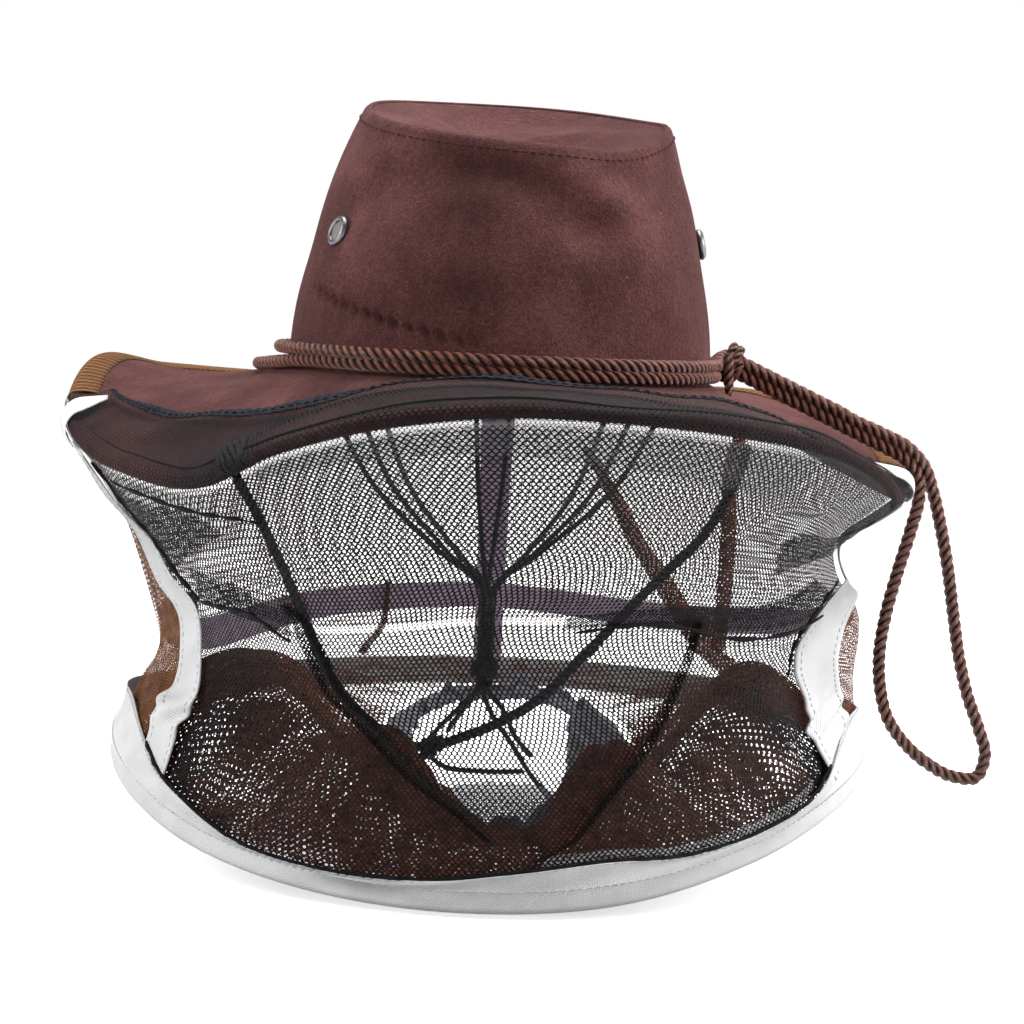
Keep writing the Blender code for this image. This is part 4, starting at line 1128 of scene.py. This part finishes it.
def add_eyelets():
    """Four vent eyelets: a rolled nickel rim round a disc of pressed gauze. The CAD washers stay."""
    rim = [
        (0.0040, 0.0004), (0.0042, 0.0013), (0.0047, 0.0020), (0.0054, 0.0021), (0.0061, 0.0016),
        (0.0066, 0.0008), (0.0067, 0.0001), (0.0063, -0.0006),
    ]  # fmt: skip
    gauze = [(0.0044, 0.0008), (0.0036, 0.0011), (0.0026, 0.0013), (0.0014, 0.0014), (0.0001, 0.0014)]
    share = EYELET_HEIGHT / CROWN_HEIGHT
    for number, side in enumerate(EYELET_SIDES, start=1):
        azimuth = CROWN_TURN + side
        point = Vector(crown_point(azimuth, share)[0])
        around = Vector((crown_point(azimuth + 1, share) - crown_point(azimuth - 1, share))[0])
        upward = Vector((crown_point(azimuth, share + 0.02) - crown_point(azimuth, share - 0.02))[0])
        facing = around.cross(upward).normalized().to_track_quat("Z", "Y").to_matrix().to_4x4()
        facing.translation = point
        ring = turned_object(f"eyelet_rim_{number}", rim, facing)
        finish_piece(ring, "nickel", stands_for=[f"vent_eyelet_{number}"])
        disc = turned_object(f"eyelet_gauze_{number}", gauze, facing)
        finish_piece(disc, "gauze")


def brim_ripple(azimuth, out):
    """The brim cloth's gentle unevenness, none at its two edges."""
    share = out / BRIM_WIDTH
    lift = waves(azimuth, share, (0.0007, 5, 0.6, 1.0), (0.0004, 11, 0.9, 2.0), (0.0002, 23, 1.7, 0.0))
    return lift * arch(share)


def add_brim():
    """The brim's two suede layers, closed round the wire at their edge, and the tan binding behind."""
    azimuth = full_turn(300)

    def layer(side):
        def surface(a, out):
            return brim_point(a, out, side * 0.0007 + brim_ripple(a, out))

        return mesh_grid(surface, azimuth, np.linspace(0.0004, BRIM_WIDTH - 0.0008, 44))

    edge = []
    for turn in np.radians(np.linspace(72, -72, 9)):
        edge.append(brim_point(azimuth, BRIM_WIDTH + 0.0011 + 0.0021 * np.cos(turn), 0.0021 * np.sin(turn)))
    top = grid_object("brim_top_cloth", [*layer(1), *edge], closed=True, thickness=0.0010)
    finish_piece(top, "suede", stands_for=["brim_top"])
    under = grid_object("brim_under_cloth", layer(-1), closed=True, thickness=0.0010)
    finish_piece(under, "suede_under", stands_for=["brim_under"])

    def binding(a, turn):
        swell = 1 + 0.05 * np.sin(np.radians(a * 560))
        out = BRIM_WIDTH + 0.0008 + 0.0036 * np.cos(turn) * swell - 0.0080 * np.maximum(-np.cos(turn), 0)
        return brim_point(a, out, 0.0027 * np.sin(turn) * swell)

    grid = mesh_grid(binding, np.linspace(93, 268.5, 1300), np.radians(np.linspace(150, -150, 21)))
    tan = grid_object("brim_binding_net", grid, thickness=0.0004)
    finish_piece(tan, "binding", stands_for=["brim_binding"])


def cover_start(azimuth):
    """How far out from the crown the black net starts on top of the brim."""
    return BRIM_WIDTH * (0.24 + 0.58 * (np.abs(azimuth) / 90) ** 1.6)


def cover_point(azimuth, share, lift=0.0):
    """Points on the black net over the brim, from its edge on top (0) to where it passes under (1)."""
    azimuth, share, lift = spread(azimuth, share, lift)
    start = cover_start(azimuth)
    flat = start + (BRIM_WIDTH - start) * np.minimum(share / COVER_BEND, 1)
    turn = np.radians(185) * ((share - COVER_BEND) / (1 - COVER_BEND)).clip(0, 1)
    bunch = patches([(-35, 0.72, 4, 0.16, 0.0030)], azimuth, share)
    ripple = 0.0009 + waves(azimuth, share, (0.0003, 19, 1.0, 0.5), (0.0007, 9, 1.4, 1.5))
    ripple += brim_ripple(azimuth, flat)
    up = (0.0032 + lift) * np.cos(turn) + bunch + ripple * np.cos(turn / 2)
    return brim_point(azimuth, flat + (0.0045 + lift) * np.sin(turn), up)


def cover_thread(u, v):
    """The thread's width of the net over the brim, which is drawn together in places."""
    drawn = 0.00026 * bell(u, 0.58, 0.2) + 0.00040 * bell(u, 0.28, 0.024)
    return 0.00042 + 0.00008 * np.sin(2 * np.pi * (3.3 * u + 1.2 * v)) + drawn


def add_brim_net():
    """The black net over the front of the brim, drawn tight, with its dense folded edge."""

    def share_at(u, v):
        start = cover_start(COVER_FROM + COVER_SPAN * u)
        inward = COVER_WIDTH * v - COVER_WRAP
        on_top = COVER_BEND * (1 - inward / (BRIM_WIDTH - start))
        return np.where(inward < 0, COVER_BEND - (1 - COVER_BEND) * inward / COVER_WRAP, on_top)

    def cover(u, v):
        return cover_point(COVER_FROM + COVER_SPAN * u, share_at(u, v))

    net = net_object("brim_cover_net", cover, 236, 52, cover_thread, lambda u, v: share_at(u, v) > 0)
    finish_piece(net, "black_net", stands_for=["net_brim_cover"])
    azimuth = np.linspace(-89.0, 90.0, 700)

    def fold(a, share):
        return cover_point(a, share, 0.0005 + 0.0002 * np.sin(np.radians(a * 170)))

    grid = mesh_grid(fold, azimuth, np.linspace(-0.02, 0.10, 9))
    edge = grid_object("brim_net_fold", grid, thickness=0.0004)
    finish_piece(edge, "net_fold")
    path = cover_point(azimuth, 0.05, 0.0010)
    outward = np.tile([0.0, 0.0, 1.0], (len(path), 1))
    stitches = stitches_object("brim_net_stitches", path, outward, 0.0042, 0.0030, 0.0006)
    finish_piece(stitches, "black_cloth")
    for number in range(7):
        share = np.linspace(0.42 + 0.06 * (number % 3), 0.99, 60)
        fan = -46 + 20 * (share - 0.2) + (number - 3) * (1.5 - share) + 0.5 * np.sin(11 * share + number)
        gather = cover_point(fan, share, -0.0005)
        radius = 0.0014 * np.sin(np.linspace(0.1, 3.0, len(gather)))
        tuck = tubes_object(f"brim_net_gather_{number + 1}", [gather], [radius])
        finish_piece(tuck, "black_cloth")
    azimuth = np.linspace(-78, 78, 620)
    rim = cover_point(azimuth, 0.80 + 0.03 * np.sin(np.radians(azimuth * 7)), 0.0001)
    rolled = tubes_object("brim_net_roll", [rim], [0.0008 * np.cos(np.radians(azimuth * 1.12))])
    finish_piece(rolled, "black_cloth")


# ---------------------------------------------------------------- nets and tapes of the veil


def seam_slack(azimuth, share):
    """How freely the net moves: none at the window's two seams, and 1 well away from them."""
    gaps = [np.abs(azimuth_gap(azimuth, window_side(share, side))) for side in (-1, 1)]
    return ((np.minimum(*gaps) - 3) / 16).clip(0, 1) ** 0.8


def veil_crumple(azimuth, share):
    """The net tube's soft folds, as distances out from its smooth shape."""
    azimuth, share = spread(azimuth, share)
    slack = arch(share) ** 0.7 * seam_slack(azimuth, share)
    lift = waves(azimuth, share, (0.0016, 5, 0.6, 0.5), (0.0010, 9, -1.1, 1.7), (0.0006, 17, 1.6, 0.2))
    return lift * slack


def add_window():
    """The black net in front of the face, above and below the middle ring."""

    def pane(first, last):
        def surface(u, v):
            share = first + (last - first) * v
            west, east = window_side(share, -1) + 0.4, window_side(share, 1) - 0.4
            azimuth = west + (east - west) * u
            return veil_point(azimuth, share, veil_crumple(azimuth, share))

        return surface

    upper = net_object("window_net_upper", pane(0.0, MID_RING_AT), 180, 56, window_thread)
    finish_piece(upper, "black_net", stands_for=["front_window_net"])
    lower = net_object("window_net_lower", pane(MID_RING_AT, NET_END), 146, 74, THREAD)
    finish_piece(lower, "black_net")


def window_thread(u, v):
    """The upper window net's thread width: the net is drawn together towards its left."""
    return THREAD + 0.00012 * bell(u, 0.2, 0.16)


def add_side_nets():
    """The brown net at the sides and back, its threads finest in the middle of the back."""
    for name, side in (("left", -1), ("right", 1)):

        def surface(u, v):
            share = NET_END * v
            seam = window_side(share, side)
            azimuth = seam + side * 0.4 + (180 * side - seam) * u
            return veil_point(azimuth, share, -veil_crumple(azimuth, share))

        net = net_object(f"side_web_{name}", surface, 128, 116, side_thread)
        finish_piece(net, "brown_net", stands_for=[f"side_net_{name}"])


def side_thread(u, v):
    """The side net's thread width, which is least at the back."""
    return 0.00020 + 0.00050 * np.cos(np.pi / 2 * u.clip(0, 1)) ** 2


def tape_top(azimuth):
    """The share of the way down at which the hoop's tape starts."""
    return round_ring(TAPE_TOP_RING, azimuth)[:, 0]


def add_window_tapes():
    """The two white tapes down the window's seams, which also turn up over the brim's tips."""
    for name, side in (("left", -1), ("right", 1)):

        def surface(u, v):
            share = TAPE_END * v
            lower = ((share - 0.36) / 0.09).clip(0, 1)
            half = 4.0 + (2.8 if side > 0 else 0.4) * lower + 1.2 * bell(share, 0.77, 0.05)
            azimuth = window_side(share, side) + half * (2 * u - 1)
            curl = 0.0008 * (2 * u - 1) ** 2 + waves(azimuth, share, (0.0006, 0, 3.1, 0.7 * side))
            curl += 0.0016 * np.sin(9 * u + 70 * share) * bell(share, 0.76, 0.05)
            return veil_point(azimuth, share, TAPE_OUT + curl)

        grid = mesh_grid(surface, 17, 150)
        tape = grid_object(f"window_twill_{name}", grid, thickness=TAPE)
        finish_piece(tape, "white_tape", stands_for=[f"window_tape_{name}"])
        for column, edge in ((2, "a"), (14, "b")):
            normal = np.cross(grid[:, column] - grid[:, column - 1], np.gradient(grid[:, column], axis=0))
            outward = normal * np.sign((normal * (grid[:, column] * [1, 1, 0])).sum(1))[:, None]
            row = stitches_object(
                f"window_stitches_{name}_{edge}",
                grid[:, column] + 0.0005 * outward / np.linalg.norm(outward, axis=1)[:, None],
                outward, 0.0034, 0.0025, 0.0005,
            )  # fmt: skip
            finish_piece(row, "white_stitch")
        add_tip_tape(name, side)


def add_tip_tape(name, side):
    """The tape's upper end, turned over the tip of the brim onto its top."""
    turns = [
        (-0.0150, 0.0042), (-0.0080, 0.0046), (0.0, 0.0048), (0.0046, 0.0030), (0.0062, 0.0),
        (0.0050, -0.0034),
    ]  # fmt: skip

    def surface(u, v):
        out, up = hermite(np.linspace(0, 1, len(turns)), turns, v).T
        wide = 6.4 * (0.3 + 0.7 * (v / 0.3).clip(0, 1))
        azimuth = side * (86.0 - (9.0 if side < 0 else -1.0) * v) + wide * (u - 0.5)
        return brim_point(azimuth, BRIM_WIDTH + out, up)

    grid = mesh_grid(surface, 11, 40)
    tip = grid_object(f"tip_twill_{name}", grid, thickness=TAPE)
    finish_piece(tip, "white_tape")


def add_ribbons():
    """The grey ribbons inside the back: across at the middle ring and down the back seam."""

    def across(a, v):
        share = MID_RING_AT + 0.015 + 0.034 * (2 * v - 1)
        return veil_point(a, share, -TAPE_OUT - waves(a, v, (0.0005, 24, 0.4, 0.3), (0.0003, 61, 0.0, 1.0)))

    grid = mesh_grid(across, np.linspace(66, 297, 470), 9)
    band = grid_object("mid_ribbon_cloth", grid, thickness=TAPE)
    finish_piece(band, "grey_ribbon", stands_for=["mid_ribbon"])
    half_turn = math.degrees(RIBBON_WIDTH / 2 / 0.152)

    def down(u, v):
        share = 0.015 + 0.86 * v
        out = -2 * TAPE_OUT - 0.0005 * np.cos(4 * np.pi * u)
        return veil_point(180 + half_turn * (2 * u - 1), share, out)

    seam = grid_object("back_seam_cloth", mesh_grid(down, 17, 140), thickness=TAPE)
    finish_piece(seam, "grey_ribbon", stands_for=["back_seam_ribbon"])


def add_hoop():
    """The hoop's white tape: folded over the wire, tall beside the window, piped and stitched at its top."""
    azimuth = full_turn(360)

    def outer(a, v):
        top = tape_top(a)
        share = top + (NET_END - top) * v
        slack = waves(a, v, (0.0007, 7, 0.4, 0.8), (0.0004, 16, 0.7, 2.2)) * (1 - v) ** 0.5
        return veil_point(a, share, 0.0029 + slack)

    ring = round_ring(HOOP_RING, azimuth)
    rows = list(mesh_grid(outer, azimuth, 26))
    for turn in np.radians(np.linspace(10, -190, 13)):
        out, up = 0.0023 * math.cos(turn), 0.0023 * math.sin(turn)
        rows.append(place(azimuth, ring[:, 0] + out, ring[:, 1] + up))
    tape = grid_object("hoop_twill", rows, closed=True, thickness=TAPE)
    finish_piece(tape, "white_tape", stands_for=["hoop_tape"])
    closed_ring = np.linspace(-180, 180, 721)
    for name, share_in in (("top", 0.035), ("lower", 0.93)):
        top = tape_top(closed_ring)
        path = veil_point(closed_ring, top + (NET_END - top) * share_in, 0.0036)
        outward = path * [1, 1, 0]
        row = stitches_object(f"hoop_stitches_{name}", path, outward, 0.0035, 0.0026, 0.0005)
        finish_piece(row, "white_stitch")
    front = np.linspace(-64, 66, 500)
    piping = veil_point(front, tape_top(front) - 0.004, 0.0022 + 0.0004 * np.sin(np.radians(front * 90)))
    cord = tubes_object("hoop_piping", [piping], [np.full(len(piping), 0.00085)])
    finish_piece(cord, "black_cloth")

    def facing(u, v):
        a = 10 + 52 * u
        return veil_point(a, tape_top(a) - 0.030 * (1 - v), -0.0012)

    pale = net_object("hoop_facing_net", facing, 62, 6, 0.00062)
    finish_piece(pale, "pale_ribbon")


def skirt_place(u, v):
    """The azimuth and the share from hoop to hem of a place on the skirt's cloth."""
    return -180 + 360 * u, 0.01 + 0.985 * v


def skirt_pleat(azimuth, share, offset):
    """Points on the skirt's gathered pleats. offset tells its two layers apart."""
    fade = (share * 6).clip(0, 1) * (1.25 - share).clip(0.3, 1)
    front = humps(SKIRT_BUNCHES, azimuth)
    deep = waves(azimuth, share, (0.0042, 11, 0.35, 0.4 + offset), (0.0026, 23, -0.5, 1.1 + offset))
    fine = waves(azimuth, share, (0.0013, 47, 0.6, 2.0 + offset), (0.0007, 71, 0.2, 0.0))
    points = skirt_point(azimuth, share)
    points[:, 2] += (deep + fine) * fade + offset * 0.0016 + front * np.sin(np.pi * share.clip(0, 1) ** 1.6)
    middle = HEM_CENTRE[:2] - points[:, :2]
    points[:, :2] += middle / np.linalg.norm(middle, axis=1)[:, None] * (0.6 * fine * fade)[:, None]
    return points


def skirt_thread(u, v):
    """The skirt's thread width, which is least behind the neck."""
    azimuth, share = skirt_place(u, v)
    open_net = patches(SKIRT_THIN, azimuth, share).clip(0, 0.7)
    mottle = np.sin(2 * np.pi * 37 * u + 9 * v) * np.sin(2 * np.pi * (61 * u + 3.3 * v))
    dense = ((128 - np.abs(azimuth)) / 24).clip(0, 1)
    return (0.00014 + 0.00094 * dense) * (1 - open_net + 0.16 * mottle)


def add_skirt():
    """The gathered brown skirt in two layers, its ruffled grey hem and the dark gathers round it."""
    for number, offset in ((1, 0.0), (2, 1.0)):

        def surface(u, v):
            return skirt_pleat(*skirt_place(u, v), offset)

        web = net_object(f"skirt_web_{number}", surface, 300, 52, skirt_thread)
        finish_piece(web, "skirt_net", stands_for=["neck_skirt"] if number == 1 else ())

    def ruffle(a, turn):
        gather = 1 + 0.10 * np.sin(np.radians(52 * a)) + 0.06 * np.sin(np.radians(87 * a + 40))
        lift = waves(a, turn, (0.0012, 9, 0.0, 0.3), (0.0007, 21, 0.0, 1.4))
        return hem_point(a, 0.0033 * np.cos(turn) * gather, 0.0031 * np.sin(turn) * gather + 0.4 * lift)

    grid = mesh_grid(ruffle, full_turn(480), np.radians(np.linspace(20, 340, 17)))
    hem = grid_object("neck_hem_ruffle", grid, closed=True, thickness=0.0006)
    finish_piece(hem, "hem_ribbon", stands_for=["neck_hem"])

    def frill(a, v):
        right = bell(azimuth_gap(a, 78), 0, 44)
        left = bell(azimuth_gap(a, -92), 0, 40)
        inward = 0.003 + 0.022 * right + 0.010 * left
        folds = waves(a, v, (0.0026, 17, 0.1, 0.5), (0.0014, 37, 0.2, 1.8)) * v
        return hem_point(a, -inward * v + 0.3 * folds, 0.0022 + (0.004 + 0.020 * right) * v + folds)

    grid = mesh_grid(frill, full_turn(480), 14)
    frill_piece = grid_object("neck_hem_frill", grid, closed=True, thickness=0.0004)
    finish_piece(frill_piece, "hem_ribbon")

    def lining(u, v):
        azimuth = -46 + 92 * u
        inward = 0.046 * v * np.cos(np.radians(azimuth)) ** 0.5
        up = 0.004 * np.sin(np.pi * v) + waves(azimuth, v, (0.0008, 13, 0.4, 0.2))
        return hem_point(azimuth, -0.001 - inward, up)

    sheer = net_object("neck_lining_net", lining, 44, 28, 0.00090)
    finish_piece(sheer, "hem_ribbon")


def add_net_folds():
    """Where the veil's net is doubled or bunched: flaps, swags, rolls, pleats and a pale lining."""
    for name, ends, high, low, cells in NET_FLAPS:

        def flap(u, v):
            azimuth = ends[0] + (ends[1] - ends[0]) * u
            share = high[0] + (high[1] - high[0]) * u
            share += (low[0] + (low[1] - low[0]) * u - share) * v
            lift = waves(azimuth, share, (0.0009, 6, 22, 0.3), (0.0005, 30, -9, 1.3))
            out = veil_crumple(azimuth, share) + 0.0010 + lift * seam_slack(azimuth, share)
            return veil_point(azimuth, share, out)

        web = net_object(name, flap, *cells, 0.00085)
        finish_piece(web, "black_net")

    def pleats(u, v):
        share = 0.03 + 0.91 * v
        azimuth = window_side(share, -1) - 3 - (14 + 16 * v) * u
        lift = waves(azimuth, share, (0.0016, 26, 1.5, 0.3), (0.0008, 55, -2, 1.3)) * (3 * u).clip(0, 1)
        return veil_point(azimuth, share, 0.0006 + lift * v - veil_crumple(azimuth, share))

    def pleat_thread(u, v):
        return 0.00050 + 0.00030 * np.sin(np.pi * v) ** 2

    web = net_object("side_pleats_left", pleats, 34, 110, pleat_thread)
    finish_piece(web, "tan_net")
    for name, radius, out, route in NET_ROLLS:
        stops = np.linspace(0, len(route) - 1, 260)
        azimuth, share = hermite(np.arange(len(route)), route, stops).T
        path = veil_point(azimuth, share, out + veil_crumple(azimuth, share))
        size = radius * (0.75 + 0.25 * np.sin(np.linspace(0, 40, len(stops))))
        size *= np.sin(np.linspace(0.12, 3.02, len(stops))) ** 0.4
        roll = tubes_object(name, [path], [size])
        finish_piece(roll, "black_cloth")
    for name, look, out, cells, route in NET_STRIPS:

        def strip(u, v):
            azimuth, share, half = hermite(np.linspace(0, 1, len(route)), route, v).T
            azimuth = azimuth + half * (2 * u - 1)
            bulge = veil_crumple(azimuth, share) if out > 0 else 0
            return veil_point(azimuth, share, out + bulge + 0.0016 * np.cos(3 * np.pi * u))

        web = net_object(name, strip, *cells, 0.0008 if out > 0 else 0.0014)
        finish_piece(web, look)

    def lining(u, v):
        azimuth = -30 + 74 * u
        return veil_point(azimuth, 0.004 + (0.045 + 0.080 * u) * v, -0.0022 + 0.0006 * np.sin(9 * u))

    pale = net_object("front_lining_net", lining, 180, 22, 0.00038)
    finish_piece(pale, "pale_ribbon")


# ---------------------------------------------------------------- studio


def add_light(name, place_at, aim, size, power):
    """A large soft area light aimed at a point."""
    data = bpy.data.lights.new(name, "AREA")
    data.shape = "DISK"
    data.size = size
    data.energy = power
    light = bpy.data.objects.new(name, data)
    light.visible_camera = False
    bpy.context.scene.collection.objects.link(light)
    light.location = place_at
    light.rotation_euler = (Vector(aim) - Vector(place_at)).to_track_quat("-Z", "Y").to_euler()


def add_studio():
    """A plain pale floor under the hoop, a surround that is white round the horizon, and soft lights."""
    floor_height = CAD_BOX[0][2] - 0.0015
    steps = np.linspace(-6, 6, 13)
    grid = [[(x, y, floor_height) for x in steps] for y in steps]
    floor = grid_object("studio_floor", grid)
    look = Look("studio_white", 0.9, Specular_IOR_Level=0.0, Emission_Strength=0.62)
    look.shader.inputs["Emission Color"].default_value = (1, 1, 1, 1)
    look.colour(look.ramp(look.noise(3, 2), (0.3, (0.93, 0.93, 0.93, 1)), (0.7, (0.95, 0.95, 0.95, 1))))
    floor.data.materials.append(look.material)
    floor.visible_diffuse = False
    world = bpy.data.worlds.new("studio")
    world.use_nodes = True
    nodes, links = world.node_tree.nodes, world.node_tree.links
    direction = nodes.new("ShaderNodeTexCoord")
    height = nodes.new("ShaderNodeSeparateXYZ")
    ramp = nodes.new("ShaderNodeValToRGB")
    shift = nodes.new("ShaderNodeMapRange")
    shift.inputs["From Min"].default_value = -1
    links.new(direction.outputs["Generated"], height.inputs[0])
    links.new(height.outputs["Z"], shift.inputs["Value"])
    links.new(shift.outputs["Result"], ramp.inputs["Fac"])
    brightness = [(0.38, 0.20), (0.46, 1.0), (0.60, 1.0), (0.70, 0.34)]
    set_stops(ramp, [(position, (value, value, value, 1)) for position, value in brightness])
    links.new(ramp.outputs["Color"], nodes["Background"].inputs["Color"])
    bpy.context.scene.world = world
    bpy.context.scene.view_settings.view_transform = "Standard"
    add_light("top", (0.1, 0.35, 1.3), (0, 0, 0), 1.2, 31)
    add_light("inner", (0, -0.06, -0.045), (0, 0.15, -0.12), 0.10, 0.16)
    add_light("left", (-1.25, -0.35, 0.50), (0, 0, -0.05), 0.9, 14)
    add_light("right", (1.3, -0.05, 0.50), (0, 0, -0.03), 0.9, 22)


def finish_cad_parts():
    """Materials for the CAD parts that stay: the wires, the eyelets' washers and the elastic."""
    chosen = {"brim_wire": "steel", "hoop_wire": "steel", "neck_elastic": "black_rope"}
    chosen.update({f"eyelet_washer_{number}": "nickel" for number in range(1, 5)})
    for node, look in chosen.items():
        for material_slot in bpy.data.objects[node].material_slots:
            material_slot.material = LOOKS[look][1]


def main():
    add_camera()
    LOOKS.update(make_looks())
    add_band()
    add_chin_cords()
    add_tie_cords()
    add_crown()
    add_eyelets()
    add_brim()
    add_brim_net()
    add_window()
    add_side_nets()
    add_window_tapes()
    add_ribbons()
    add_hoop()
    add_skirt()
    add_net_folds()
    finish_cad_parts()
    add_studio()


main()
